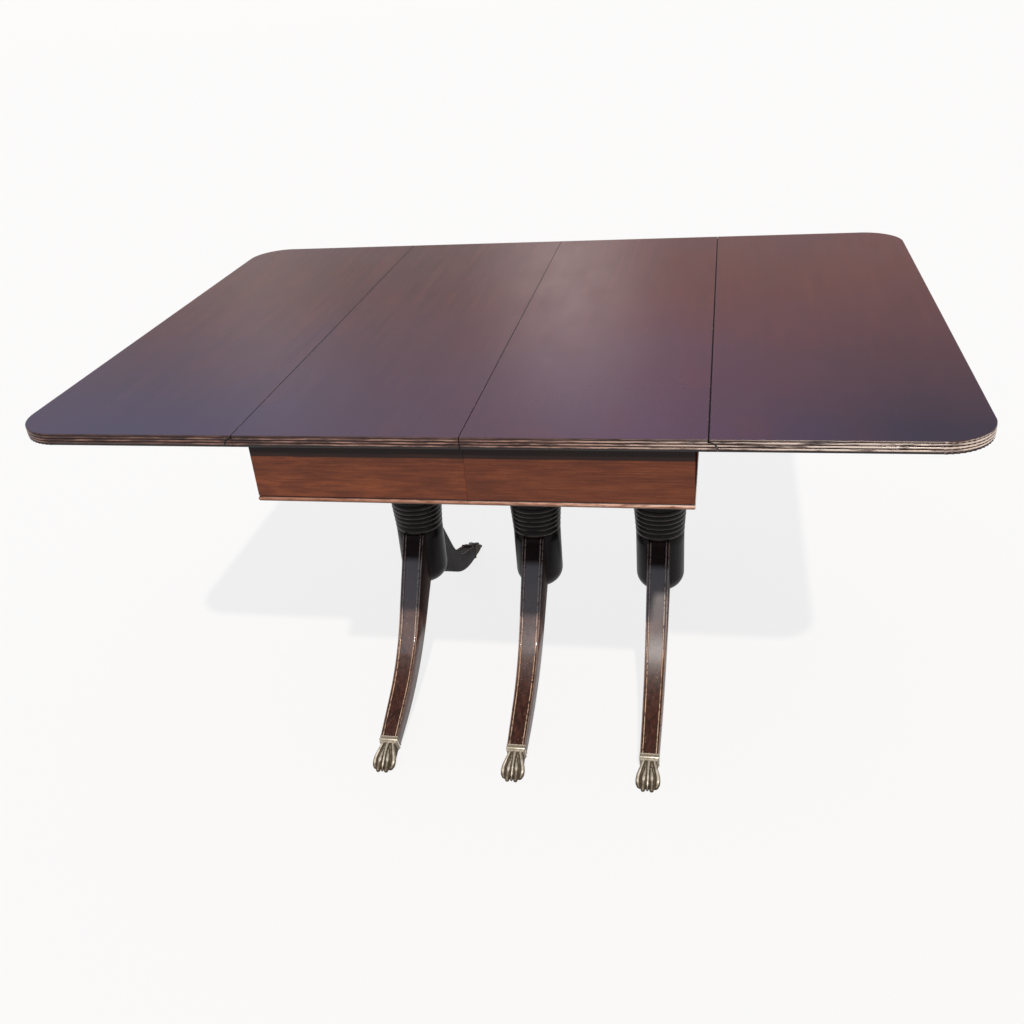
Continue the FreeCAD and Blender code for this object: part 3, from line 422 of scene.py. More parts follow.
def add_tube(mesh, path):
    """A closed tube of round sections along (across, out, height, radius)."""
    steps = 14
    centres = [Vector((across, -out, height)) for across, out, height, _ in path]
    rings = []
    for index, centre in enumerate(centres):
        before = centres[max(0, index - 1)]
        after = centres[min(len(centres) - 1, index + 1)]
        forward = (after - before).normalized()
        side = forward.cross(Vector((0, 0, 1))).normalized()
        up = side.cross(forward)
        ring = []
        for step in range(steps):
            angle = 2 * math.pi * step / steps
            spoke = side * math.cos(angle) + up * math.sin(angle)
            ring.append(mesh.verts.new(centre + spoke * path[index][3]))
        rings.append(ring)
    for first, second in zip(rings, rings[1:]):
        for step in range(steps):
            after = (step + 1) % steps
            mesh.faces.new((first[step], first[after], second[after], second[step]))
    mesh.faces.new(list(reversed(rings[0])))
    mesh.faces.new(rings[-1])


def add_ball(mesh, across, out, height, radius):
    """A small round lump."""
    place = Matrix.Translation((across, -out, height))
    bmesh.ops.create_icosphere(mesh, subdivisions=3, radius=radius, matrix=place)


def add_hull(mesh, points):
    """The convex shape round some points."""
    corners = [mesh.verts.new(p) for p in points]
    bmesh.ops.convex_hull(mesh, input=corners)


paw_form = bmesh.new()
core_start = ankle_middle + ankle_along * cuff_stations[-1][0] - ankle_along * cuff_overlap
core = []
for x in (-15.5, 15.5):
    core.append(core_start + ankle_across * (ankle_half - 4.2) + Vector((x * 0.85, 0, 0)))
    core.append(core_start - ankle_across * (ankle_half - 1) + Vector((x, 0, 0)))
for out, half, height in core_stations:
    for x in (-half, half):
        core.append(Vector((x * 0.55, -out, height)))
        core.append(Vector((x * 0.92, -out, height * 0.7)))
        core.append(Vector((x, -out, height * 0.35)))
        core.append(Vector((x * 0.94, -out, -1)))
add_hull(paw_form, core)
for ridge in ridges:
    add_tube(paw_form, ridge)
    across, out, height, radius = ridge[-1]
    add_ball(paw_form, across, out, height, radius)
    across, out, height, radius = ridge[0]
    add_ball(paw_form, across, out, height, radius * 1.25)
paw_draft = bpy.data.meshes.new("paw_draft")
paw_form.to_mesh(paw_draft)
paw_form.free()
paw_draft.transform(Matrix.Scale(mm, 4))
draft = bpy.data.objects.new("paw_draft", paw_draft)
bpy.context.scene.collection.objects.link(draft)
remesh = draft.modifiers.new("weld", "REMESH")
remesh.mode = "VOXEL"
remesh.voxel_size = weld_size * mm
smooth = draft.modifiers.new("soften", "SMOOTH")
smooth.factor = 0.5
smooth.iterations = 2
cast_paw = bpy.data.meshes.new_from_object(draft.evaluated_get(bpy.context.evaluated_depsgraph_get()))
bpy.data.objects.remove(draft)

casting = bmesh.new()
cuff_rings = []
cuff_dirt = []
for along, proud, dirt_and_shade in cuff_stations:
    high = ankle_half + 0.5 + proud - cuff_corner
    wide = cuff_half + proud - cuff_corner
    ring = []
    for sx, sy, a0 in ((1, 1, 0), (-1, 1, 90), (-1, -1, 180), (1, -1, 270)):
        for turn in (0, 30, 60, 90):
            angle = math.radians(a0 + turn)
            rise = sy * high + cuff_corner * math.sin(angle)
            spot = ankle_middle + ankle_along * along + ankle_across * rise
            spot.x = sx * wide + cuff_corner * math.cos(angle)
            ring.append(casting.verts.new(spot * mm))
            cuff_dirt.append(dirt_and_shade)
    cuff_rings.append(ring)
for first, second in zip(cuff_rings, cuff_rings[1:]):
    for step in range(len(first)):
        after = (step + 1) % len(first)
        casting.faces.new((first[step], second[step], second[after], first[after]))
casting.faces.new(cuff_rings[0])
casting.faces.new(list(reversed(cuff_rings[-1])))
casting.from_mesh(cast_paw)
bmesh.ops.recalc_face_normals(casting, faces=casting.faces)
for vertex in casting.verts:
    vertex.co.z = max(sole_lift * mm, vertex.co.z)
paw_mesh = bpy.data.meshes.new("paw_casting")
casting.to_mesh(paw_mesh)
casting.free()

# How hollow the casting is at each point, as a share of a full hollow, evened out over its neighbours
full_hollow = 0.05
neighbours = [[] for _ in paw_mesh.vertices]
for edge in paw_mesh.edges:
    a, b = edge.vertices
    neighbours[a].append(b)
    neighbours[b].append(a)
hollows = []
for vertex in paw_mesh.vertices:
    near = neighbours[vertex.index]
    middle = sum((paw_mesh.vertices[i].co for i in near), Vector()) / max(1, len(near))
    hollows.append((middle - vertex.co).dot(vertex.normal) / (full_hollow * mm))
for _ in range(4):
    hollows = [(hollows[i] + sum(hollows[j] for j in neighbours[i])) / (1 + len(neighbours[i]))
               for i in range(len(hollows))]

# Dirt and painted shade from 0 on a rubbed ridge facing up and forward to 1: patina in the hollows, painted
# shade on the flanks turned from the light and at the front of the toes
rubbed_and_lit_from = Vector((0, -0.55, 0.835))
middle_half = 4
side_toe_front = 404
middle_toe_front = 411
toe_fade = 6
dirt_and_shade_values = []
for vertex, sunk in zip(paw_mesh.vertices, hollows):
    toe_front = side_toe_front if abs(vertex.co.x) > middle_half * mm else middle_toe_front
    # Painted shade at the front of the toes
    front = min(1.0, max(0.0, (-vertex.co.y / mm - toe_front) / toe_fade))
    turned_from_light = min(1.0, max(0.0, (0.97 - vertex.normal.dot(rubbed_and_lit_from)) / 0.22))
    dirt_and_shade_values.append(min(1.0, max(0.0, 1.3 * sunk + 0.65) + 0.65 * turned_from_light + 0.8 * front))
dirt_and_shade_values[:len(cuff_dirt)] = cuff_dirt
paw_mesh.attributes.new("dirt_and_shade", "FLOAT", "POINT").data.foreach_set("value", dirt_and_shade_values)


def antique_brass(name, tones):
    """Old cast brass, rubbed pale on the ridges, brown and dull in the hollows and under painted shade, with
    a fine cast grain.
    """
    material, tree = new_material(name)
    grime_and_shade = add_node(tree, "Attribute", attribute_name="dirt_and_shade").outputs["Fac"]
    tarnish = streaks(tree, "Y", 5, 9, 3.0)
    rubbed = add_node(tree, "ValToRGB", {"Fac": tarnish}, stops=list(zip((0.3, 0.5, 0.7), tones)))
    brown = add_node(tree, "ValToRGB", {"Fac": tarnish}, stops=[(0.3, "#3a3022"), (0.7, "#5a4d3b")])
    colour = layered(tree, rubbed, (grime_and_shade, brown))
    pits = add_node(tree, "Bump", {"Height": streaks(tree, "Y", 0.8, 0.9, 2.0), "Distance": 0.1 * mm,
                                   "Strength": 0.5})
    bare = add_node(tree, "MapRange", {"Value": grime_and_shade, "To Min": 0.65, "To Max": 0.2})
    dull = add_node(tree, "MapRange", {"Value": grime_and_shade, "To Min": 0.36, "To Max": 0.7})
    surface(tree, {"Base Color": colour, "Metallic": bare, "Roughness": dull, "Normal": pits})
    return material


rubbed_brass = antique_brass("antique cast brass", ("#c4baa6", "#ddd3bf", "#f0e8d8"))
# A darker copy of the brass for the rear paws, which stand in the table's shade: painted shade
shaded_brass = antique_brass("antique cast brass, shade_darkened", ("#2e2924", "#413a32", "#5c5548"))
paw_mesh.materials.append(rubbed_brass)
paw_mesh.polygons.foreach_set("use_smooth", [True] * len(paw_mesh.polygons))
paw_mesh.set_sharp_from_angle(angle=math.radians(45))
rear_paw_mesh = paw_mesh.copy()
rear_paw_mesh.materials[0] = shaded_brass
for name, (place, facing, body) in legs.items():
    paw = bpy.data.objects.new("paw_cast_" + name, paw_mesh if facing == 1 else rear_paw_mesh)
    bpy.context.scene.collection.objects.link(paw)
    paw.location = (place * mm, 0, 0)
    paw.rotation_euler = (0, 0, 0 if facing == 1 else math.pi)
    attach(paw, body)
    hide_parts("paw_" + name)


# Bearers, cleats, blocks and guides
# Plain sawn pine under the table: cross rails on the columns, glue blocks in corners, guides for the lopers.
# Bare wood gone yellow-brown with age and dust, never polished.

def bare_wood(name, along, dark, middle, light, ring, pore):
    """Unpolished softwood or hardwood: growth lines of a given spacing in millimetres, dust, small pores."""
    material, tree = new_material(name)
    lines = add_node(tree, "ValToRGB", {"Fac": streaks(tree, along, ring, ring * 40, 3.0)},
                     stops=[(0.36, dark), (0.5, middle), (0.64, light)])
    stained = patches(tree, 0.5, 0.72, 1.0, along, 60, 140, 2.0, 4.0)
    colour = layered(tree, lines, (stained, dark))
    pores = add_node(tree, "Bump", {"Height": streaks(tree, along, pore, pore * 14, 2.0),
                                    "Distance": 0.2 * mm, "Strength": 0.7})
    rough = add_node(tree, "MapRange", {"Value": streaks(tree, along, 12, 40, 2.0, 9.0), "To Min": 0.6,
                                        "To Max": 0.85})
    surface(tree, {"Base Color": colour, "Roughness": rough, "Normal": pores})
    return material


def dress(material, *names):
    """Give CAD nodes a material."""
    for name in names:
        nodes[name].data.materials.clear()
        nodes[name].data.materials.append(material)


pine_across = bare_wood("bare pine, sawn", "Y", "#7d5632", "#a67c4c", "#b98f5e", 3.5, 1.0)
pine_upright = bare_wood("bare pine blocks", "Z", "#7d5632", "#a67c4c", "#b98f5e", 3.5, 1.0)
dress(pine_across, "bearer_left", "bearer_centre", "bearer_right", "loper_guides_left", "loper_guides_right")
dress(pine_upright, "bearer_cleats_left", "bearer_cleats_right", "corner_blocks_left", "corner_blocks_right")


# Slides and lopers
# Beech bars that slide: tongued rails under the halves, grooved rails on the centre pedestal, and the lopers.
# Planed hardwood, pale and close-grained, waxed where it rubs.

beech = bare_wood("planed beech", "X", "#8a6238", "#b28857", "#c39b6b", 1.8, 0.7)
dress(beech, "slides_left", "slides_centre", "slides_right")
beech_peg = bare_wood("turned beech", "Z", "#7a5430", "#a37a4c", "#b58c5c", 1.8, 0.7)
for side in ("left", "right"):
    for end in ("front", "rear"):
        dress(beech, "loper_%s_%s" % (side, end))
        dress(beech_peg, "loper_peg_%s_%s" % (side, end))
dress(beech_peg, "seam_pins")


# Apron
# Rails of mahogany veneer on pine, polished a warm orange brown, run under the top of each half.
# The figure is fine and level, with darker clouds, a soft gloss and, under the top, a near black painted
# shadow of the top's overhang.

shadow_strip_low = 709.3
shadow_strip_high = 710.6


def polished_veneer(name, along, shift, swirl, mirror=0.22):
    """Old polished mahogany veneer: fine level grain, a swirling figure, dark clouds, pores, a soft gloss and
    a painted shadow under the top.
    """
    material, tree = new_material(name)
    fine = add_node(tree, "ValToRGB", {"Fac": streaks(tree, along, 2.6, 60, 4.0, shift, 0.3 * swirl)},
                    stops=[(0.3, "#5c3225"), (0.48, "#6a3a29"), (0.62, "#74412d"), (0.75, "#7f4932")])
    figure = patches(tree, 0.5, 0.68, 0.25 + 0.35 * swirl, along, 9, 75, 3.0, shift + 5.0, 0.7 * swirl)
    clouds = patches(tree, 0.5, 0.7, 0.6, along, 24, 90, 3.0, shift + 9.0)
    pores = patches(tree, 0.6, 0.74, 0.6, along, 0.9, 9, 2.0, shift + 2.0)
    place = add_node(tree, "TexCoord").outputs["Object"]
    height = add_node(tree, "SeparateXYZ", {"Vector": place}).outputs["Z"]
    # Painted shadow of the top's overhang, near black above this height
    painted_shadow_strip = add_node(tree, "MapRange", {"Value": height, "From Min": shadow_strip_low * mm,
                                        "From Max": shadow_strip_high * mm, "To Max": 0.9})
    colour = layered(tree, fine, (figure, "#8f5033"), (clouds, "#4f2c20"), (pores, "#3f2218"),
                     (painted_shadow_strip, "#151112"))
    gloss = add_node(tree, "MapRange", {"Value": streaks(tree, along, 14, 40, 2.0, 8.0), "To Min": 0.3,
                                        "To Max": 0.45})
    bump = add_node(tree, "Bump", {"Height": pores, "Distance": -0.06 * mm, "Strength": 0.5})
    surface(tree, {"Base Color": colour, "Roughness": gloss, "Normal": bump, "Specular IOR Level": mirror})
    return material


left_veneer = polished_veneer("polished mahogany veneer, left", "X", 0.0, 1.0)
right_veneer = polished_veneer("polished mahogany veneer, right", "X", 31.0, 0.2)
end_veneer = polished_veneer("polished mahogany veneer, ends", "Y", 17.0, 0.5, 0.0)
dress(left_veneer, "apron_front_left", "apron_rear_left")
dress(right_veneer, "apron_front_right", "apron_rear_right")
dress(end_veneer, "apron_end_left", "apron_end_right")


# Bead
# A half-round strip of solid mahogany under each rail, mitred at the corners.
# Its nose is rubbed to pinkish bare wood, with a painted highlight there, palest at the right, and a painted
# shade line in the quirk.

bead_nose = 638
bead_wood, tree = new_material("worn polished mahogany bead")
where = add_node(tree, "SeparateXYZ", {"Vector": add_node(tree, "TexCoord").outputs["Object"]})
grain = add_node(tree, "ValToRGB", {"Fac": streaks(tree, "X", 1.6, 26, 3.0)},
                 stops=[(0.32, "#6a3f2d"), (0.5, "#8a5a43"), (0.68, "#a06c52")])
highlit_nose = add_node(tree, "MapRange", {"Value": where.outputs["Z"], "From Min": (bead_nose - 3.5) * mm,
                                   "From Max": (bead_nose + 0.5) * mm})
rub = patches(tree, 0.34, 0.56, 1.0, "X", 3, 22, 3.0, 6.0)
nose_rub_and_highlight = add_node(tree, "Math", {0: highlit_nose, 1: rub}, operation="MULTIPLY")
# Painted highlight: the bared nose is paler to the right
to_right = add_node(tree, "MapRange", {"Value": where.outputs["X"], "From Min": -340 * mm,
                                       "From Max": 340 * mm})
bared_and_painted_light = add_node(tree, "ValToRGB", {"Fac": to_right},
                 stops=[(0.1, "#a8755f"), (0.6, "#c0917c"), (0.95, "#e6bda8")])
# Painted shade line in the quirk above the nose
quirk_shade = add_node(tree, "MapRange", {"Value": where.outputs["Z"], "From Min": (bead_nose + 2.4) * mm,
                                    "From Max": (bead_nose + 3.2) * mm})
colour = layered(tree, grain, (nose_rub_and_highlight, bared_and_painted_light), (quirk_shade, "#2a120b"))
surface(tree, {"Base Color": colour, "Roughness": 0.42, "Specular IOR Level": 0.3})
dress(bead_wood, "bead_left", "bead_right")


# Top and leaves
# Solid mahogany boards, french-polished to a deep red brown, grain along the seams, under a painted sky
# reflection: violet blue at the front, redder to the right.
# Round the edge run a small bead and three reeds, rubbed bare on their crests, palest at the right with a
# painted highlight, and dark in their grooves with dirt and painted shade.

underside = 731
leaf_seam = 346.3
half_long = 723
half_wide = 523
leaf_corner = 78
sawn_reed = 2.05
pin_place = (346, 733)
curve_radius = 12.8
groove_depth = 1.7
cove_ease = 0.45
cove_end = 360
cove_top = 745.5
cove_fade = 6
seam_reach = 0.3
shut_seam = 0.03
edge_reach = 0.05
end_reach = 700
end_start = 600
middle_reach = 100
seam_black = "#150b0c"
french_polish, tree = new_material("french-polished mahogany")
texture = add_node(tree, "TexCoord")
where = add_node(tree, "SeparateXYZ", {"Vector": texture.outputs["Object"]})
facing = add_node(tree, "SeparateXYZ", {"Vector": texture.outputs["Normal"]})
to_right = where.outputs["X"]
grain = add_node(tree, "ValToRGB", {"Fac": streaks(tree, "Y", 9, 220, 4.0)},
                 stops=[(0.34, "#451f1c"), (0.5, "#4e2622"), (0.66, "#582c26")])
# Painted sky reflection: redder to the right, where less sky is mirrored, violet blue towards the front and
# darkest blue at the front right corner, with random clouds in it
redder_less_sky = add_node(tree, "MapRange", {"Value": to_right, "From Min": -250 * mm, "From Max": 350 * mm,
                                     "To Max": 0.5})
front_sky_reflection = add_node(tree, "MapRange", {"Value": where.outputs["Y"], "From Min": 120 * mm,
                                          "From Max": -480 * mm, "To Max": 0.85})
cloud = patches(tree, 0.45, 0.75, 0.16, "Y", 160, 260, 3.0, 3.0)
reflection_and_cloud = add_node(tree, "Math", {0: front_sky_reflection, 1: cloud}, operation="ADD", use_clamp=True)
end_to_end = add_node(tree, "MapRange", {"Value": to_right, "From Min": -end_reach * mm,
                                         "From Max": end_reach * mm})
painted_reflection_colour = add_node(tree, "ValToRGB", {"Fac": end_to_end}, stops=[
    (0.1, "#33324f"), (0.5, "#4c3545"), (0.7, "#50344c"), (0.95, "#1e162b")])
thin_polish = patches(tree, 0.58, 0.82, 0.3, "Y", 80, 170, 2.0, 12.0)
pore_lines = patches(tree, 0.6, 0.76, 0.3, "Y", 1.3, 16, 2.0, 2.0)

# Small chips in the polish, about 60 mm apart
chip = add_node(tree, "TexVoronoi", {"Vector": texture.outputs["Object"], "Scale": 1 / (60 * mm)})
chip_shape = add_node(tree, "Math", {0: chip.outputs["Distance"], 1: 0.018}, operation="LESS_THAN")
chip_pick = add_node(tree, "SeparateXYZ", {"Vector": chip.outputs["Color"]}).outputs["X"]
chip_some = add_node(tree, "Math", {0: chip_pick, 1: 0.75}, operation="GREATER_THAN")
chips = add_node(tree, "Math", {0: chip_shape, 1: chip_some}, operation="MULTIPLY")

# Dirt in the middle seam and the rule joints, most in the right one, and rubbed arrises beside it
side_place = add_node(tree, "Math", {0: to_right}, operation="ABSOLUTE")
from_joint = add_node(tree, "Math", {0: side_place, 1: leaf_seam * mm}, operation="SUBTRACT")
joint_gap = add_node(tree, "Math", {0: from_joint}, operation="ABSOLUTE")
near_gap = add_node(tree, "Math", {0: joint_gap, 1: side_place}, operation="MINIMUM")
dirtier = add_node(tree, "MapRange", {"Value": to_right, "From Min": 300 * mm, "From Max": 340 * mm,
                                      "To Min": 1.0, "To Max": 0.65})
seam_gap = add_node(tree, "Math", {0: near_gap, 1: dirtier}, operation="MULTIPLY")
arris = add_node(tree, "MapRange", {"Value": seam_gap, "From Min": 1.9 * mm, "From Max": 1.0 * mm})
arris_rub = patches(tree, 0.6, 0.66, 0.8, "Y", 2, 9, 2.0, 21.0)
arris_worn = add_node(tree, "Math", {0: arris, 1: arris_rub}, operation="MULTIPLY")
seam_dirt = add_node(tree, "MapRange", {"Value": seam_gap, "From Min": 1.1 * mm, "From Max": 0.6 * mm})
polished = layered(tree, grain, (redder_less_sky, "#662a23"), (reflection_and_cloud, painted_reflection_colour), (thin_polish, "#662f24"),
                   (pore_lines, "#2a1414"), (chips, "#98796c"), (arris_worn, "#8c7168"),
                   (seam_dirt, seam_black))

# Reeds: the mesh carries how deep each point lies; the right hand side is rubbed most and its bared crests
# are paler there, partly a painted highlight, and the grooves and the strip below are darkened, partly dirt
# and partly painted shade
depth = add_node(tree, "Attribute", attribute_name="depth").outputs["Fac"]
crest = add_node(tree, "MapRange", {"Value": depth, "From Min": 0.5, "From Max": 0.1})
groove_shade = add_node(tree, "MapRange", {"Value": depth, "From Min": 0.8, "From Max": 1.4})
rubbed_and_lit_right = add_node(tree, "MapRange", {"Value": to_right, "From Min": -end_reach * mm,
                                          "From Max": end_reach * mm, "To Min": -0.06, "To Max": 0.14})
rub_place = add_node(tree, "Math", {0: streaks(tree, "Z", 34, 3, 4.0, 15.0), 1: rubbed_and_lit_right}, operation="ADD")
rub_share = add_node(tree, "MapRange", {"Value": rub_place, "From Min": 0.46, "From Max": 0.62})
crest_worn = add_node(tree, "Math", {0: crest, 1: rub_share}, operation="MULTIPLY")
reed_wood = add_node(tree, "ValToRGB", {"Fac": streaks(tree, "Z", 30, 6, 3.0, 4.0)},
                     stops=[(0.35, "#33201c"), (0.65, "#503630")])
reed_bared_and_highlight = add_node(tree, "ValToRGB", {"Fac": end_to_end},
                      stops=[(0.2, "#967264"), (0.6, "#a98475"), (0.85, "#ecd9cb")])
reed_colour = layered(tree, reed_wood, (crest_worn, reed_bared_and_highlight), (groove_shade, "#1a0f0d"))
upright = add_node(tree, "Math", {0: facing.outputs["Z"]}, operation="ABSOLUTE")
on_edge = add_node(tree, "Math", {0: upright, 1: 0.97}, operation="LESS_THAN")
sideways = add_node(tree, "Math", {0: facing.outputs["Y"]}, operation="ABSOLUTE")
on_long = add_node(tree, "Math", {0: sideways, 1: 0.2}, operation="GREATER_THAN")
on_end = add_node(tree, "Math", {0: side_place, 1: end_start * mm}, operation="GREATER_THAN")
on_outline = add_node(tree, "Math", {0: on_long, 1: on_end}, operation="MAXIMUM")
on_reed = add_node(tree, "Math", {0: on_edge, 1: on_outline}, operation="MULTIPLY")

# On the reeds the seams' dirt shows above the rule joint's curve, and all the way down at the middle
above_curve = add_node(tree, "MapRange", {"Value": where.outputs["Z"], "From Min": (cove_top - 1) * mm,
                                          "From Max": cove_top * mm})
at_middle = add_node(tree, "Math", {0: side_place, 1: middle_reach * mm}, operation="LESS_THAN")
seam_height = add_node(tree, "Math", {0: above_curve, 1: at_middle}, operation="MAXIMUM")
seam_part = add_node(tree, "Math", {0: seam_dirt, 1: seam_height}, operation="MULTIPLY")
reed_dirt = add_node(tree, "Math", {0: seam_part, 1: on_reed}, operation="MULTIPLY")

# The rule joint's quarter round shows on the edge as a dark curve about the hinge pin
pin_out = add_node(tree, "Math", {0: side_place, 1: -pin_place[0] * mm}, operation="ADD")
pin_up = add_node(tree, "Math", {0: where.outputs["Z"], 1: -pin_place[1] * mm}, operation="ADD")
pin_offset = add_node(tree, "CombineXYZ", {"X": pin_out, "Y": pin_up})
pin_distance = add_node(tree, "VectorMath", {0: pin_offset}, operation="LENGTH")
off_curve = add_node(tree, "Math", {0: pin_distance, 1: curve_radius * mm}, operation="SUBTRACT")
curve_gap = add_node(tree, "Math", {0: off_curve}, operation="ABSOLUTE")
near_curve = add_node(tree, "MapRange", {"Value": curve_gap, "From Min": 1.5 * mm, "From Max": 0.9 * mm})
on_leaf = add_node(tree, "Math", {0: pin_out, 1: 0.0}, operation="GREATER_THAN")
leaf_reed = add_node(tree, "Math", {0: on_reed, 1: on_leaf}, operation="MULTIPLY")
curve_dirt = add_node(tree, "Math", {0: near_curve, 1: leaf_reed}, operation="MULTIPLY")

# The underside was never polished
below = add_node(tree, "Math", {0: facing.outputs["Z"], 1: -0.97}, operation="LESS_THAN")
raw = add_node(tree, "ValToRGB", {"Fac": streaks(tree, "Y", 5, 130, 4.0, 9.0)},
               stops=[(0.34, "#5f3d2b"), (0.66, "#84583d")])
colour = layered(tree, polished, (on_reed, reed_colour), (reed_dirt, seam_black), (curve_dirt, seam_black),
                 (below, raw))
gloss = add_node(tree, "MapRange", {"Value": streaks(tree, "Y", 50, 120, 4.0, 6.0), "To Min": 0.16,
                                    "To Max": 0.28})
dull_below = add_node(tree, "Math", {0: below, 1: 0.5, 2: gloss}, operation="MULTIPLY_ADD")
bump = add_node(tree, "Bump", {"Height": pore_lines, "Distance": -0.03 * mm, "Strength": 0.1})
shine = add_node(tree, "MapRange", {"Value": seam_dirt, "To Min": 0.5, "To Max": 0.05})
surface(tree, {"Base Color": colour, "Roughness": dull_below, "Normal": bump, "Specular IOR Level": shine})


def from_outline(point):
    """How far in from the outline of the whole top a point lies, in millimetres, and the direction out."""
    x, y = abs(point.x) / mm, abs(point.y) / mm
    past_corner = Vector((x - half_long + leaf_corner, y - half_wide + leaf_corner))
    if min(past_corner) > 0:
        inset = leaf_corner - past_corner.length
        outward = past_corner.normalized()
    elif half_wide - y < half_long - x:
        inset = half_wide - y
        outward = Vector((0, 1))
    else:
        inset = half_long - x
        outward = Vector((1, 0))
    return inset, Vector((math.copysign(outward.x, point.x), math.copysign(outward.y, point.y), 0))


# Edge of the boards from the top down as (height, depth): a small bead, three reeds and a plain strip below
edge_profile = [(750.0, 1.0), (749.5, 0.5), (748.8, 0.25), (748.0, 0.5), (747.4, groove_depth)]
for reed_high, reed_low in ((747.4, 742.6), (742.6, 738.3), (738.3, 733.8)):
    reed_middle = (reed_high + reed_low) / 2
    for share in (0.85, 0.6, 0.3, 0, -0.3, -0.6, -0.85, -1):
        height = reed_middle + share * (reed_high - reed_low) / 2
        edge_profile.append((height, groove_depth * abs(share) ** 3))
edge_profile += [(733.3, 1.4), (731.4, 1.4), (underside, 1.7)]


def edge_depth(height):
    """Depth of the edge at a height."""
    for (high, first), (low, second) in zip(edge_profile, edge_profile[1:]):
        if height >= low:
            return first + (second - first) * (high - height) / (high - low)
    return edge_profile[-1][1]


boards = {"top_left": "left_half", "top_right": "right_half",
          "leaf_left": "left_leaf", "leaf_right": "right_leaf"}
for name, body in boards.items():
    form = bmesh.new()
    form.from_mesh(nodes[name].data)
    bmesh.ops.remove_doubles(form, verts=form.verts, dist=0.01 * mm)
    for vertex in form.verts:
        inset, outward = from_outline(vertex.co)
        if inset < sawn_reed:
            vertex.co += outward * inset * mm
    for height, _ in edge_profile[1:-1]:
        bmesh.ops.bisect_plane(form, geom=form.verts[:] + form.edges[:] + form.faces[:],
                               plane_co=(0, 0, height * mm), plane_no=(0, 0, 1))
    form.verts.index_update()
    points = []
    depths = []
    for vertex in form.verts:
        inset, outward = from_outline(vertex.co)
        depths.append(edge_depth(vertex.co.z / mm) if inset < edge_reach else 0.0)
        spot = vertex.co / mm - outward * depths[-1]
        # The leaf's cove closes up on the ovolo and the halves on each other, so that no light shows through
        if name.startswith("leaf") and abs(spot.x) < cove_end:
            ease = cove_ease * min(1.0, max(0.0, (cove_top - spot.z) / cove_fade))
            spot.x -= math.copysign(ease, spot.x)
        if abs(spot.x) < seam_reach:
            spot.x = math.copysign(shut_seam, spot.x)
        points.append(spot)
    faces = [[vertex.index for vertex in face.verts] for face in form.faces]
    form.free()
    board = make_piece("board_" + name, points, faces, french_polish, body)
    board.data.attributes.new("depth", "FLOAT", "POINT").data.foreach_set("value", depths)
    board.data.set_sharp_from_angle(angle=math.radians(30))
    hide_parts(name)


# Hinges and locks
# Pressed steel drop-leaf hinges let into the underside, and two table locks beside the seam.
# Bare steel, dull brown-grey with age and touched with rust.

def old_steel(name, dark, light):
    """Pressed steel gone dull: mottled oxide, patches of rust, a satin sheen."""
    material, tree = new_material(name)
    oxide = add_node(tree, "ValToRGB", {"Fac": streaks(tree, "Y", 4, 6, 4.0)},
                     stops=[(0.35, dark), (0.65, light)])
    rust = patches(tree, 0.56, 0.68, 1.0, "X", 7, 9, 4.0, 13.0)
    colour = layered(tree, oxide, (rust, "#6a4026"))
    bare = add_node(tree, "MapRange", {"Value": rust, "To Min": 1.0, "To Max": 0.2})
    rough = add_node(tree, "MapRange", {"Value": rust, "To Min": 0.42, "To Max": 0.8})
    surface(tree, {"Base Color": colour, "Metallic": bare, "Roughness": rough})
    return material


hinge_steel = old_steel("oxidised hinge steel", "#5d554c", "#8a8278")
for side in ("left", "right"):
    dress(hinge_steel, "hinge_top_plates_" + side, "hinge_leaf_plates_" + side, "hinge_pins_" + side)
lock_steel = old_steel("stamped lock steel", "#55504a", "#7e7870")
dress(lock_steel, "lock_bases", "lock_keepers", "lock_lever_front", "lock_lever_rear", "slide_stop_pins")


# Screws
# Steel wood screws with slotted heads hold the hinge plates to the boards.
# Their heads stand a little proud, and no two slots in a row point the same way.

screw_radius = 3.2
screw_proud = 0.5
screw_slot = 0.9
slot_turn = 37
hinge_places = (-400, 0, 400)
screw_steps = (-14, 14)
top_screw_out = 324
leaf_screws_out = (366, 388)


def screw_heads(name, places, height, body):
    """Slotted heads at (x, y) under a face at a height: each is two half discs with the slot between them."""
    points = []
    faces = []
    for index, (x, y) in enumerate(places):
        turn = slot_turn * index
        lean = math.degrees(math.asin(screw_slot / 2 / screw_radius))
        for half in (0, 180):
            rim = arc_points((x, y), screw_radius, turn + half + lean, turn + half + 180 - lean, 12)
            first = len(points)
            points += [(px, py, height) for px, py in rim]
            points += [(px, py, height - screw_proud) for px, py in rim]
            count = len(rim)
            faces.append(tuple(first + count + i for i in reversed(range(count))))
            faces.append(tuple(first + i for i in range(count)))
            for i in range(count):
                after = (i + 1) % count
                faces.append((first + after, first + i, first + count + i, first + count + after))
    heads = make_piece(name, points, faces, lock_steel, body)
    heads.data.set_sharp_from_angle(angle=math.radians(40))


hinge_rows = [y + step for y in hinge_places for step in screw_steps]
for side, sign in (("left", -1), ("right", 1)):
    top_places = [(sign * top_screw_out, y) for y in hinge_rows]
    screw_heads("hinge_screws_top_" + side, top_places, underside, side + "_half")
    leaf_places = [(sign * x, y) for x in leaf_screws_out for y in hinge_rows]
    screw_heads("hinge_screws_leaf_" + side, leaf_places, underside, side + "_leaf")


# Floor
# A wide pale studio floor, matt, which turns up far off like a paper sweep and keeps the table's soft shadow.
# It glows where it is seen, so that it looks near white, fades as it rises as a painted shade on the sweep,
# and throws little light upwards.

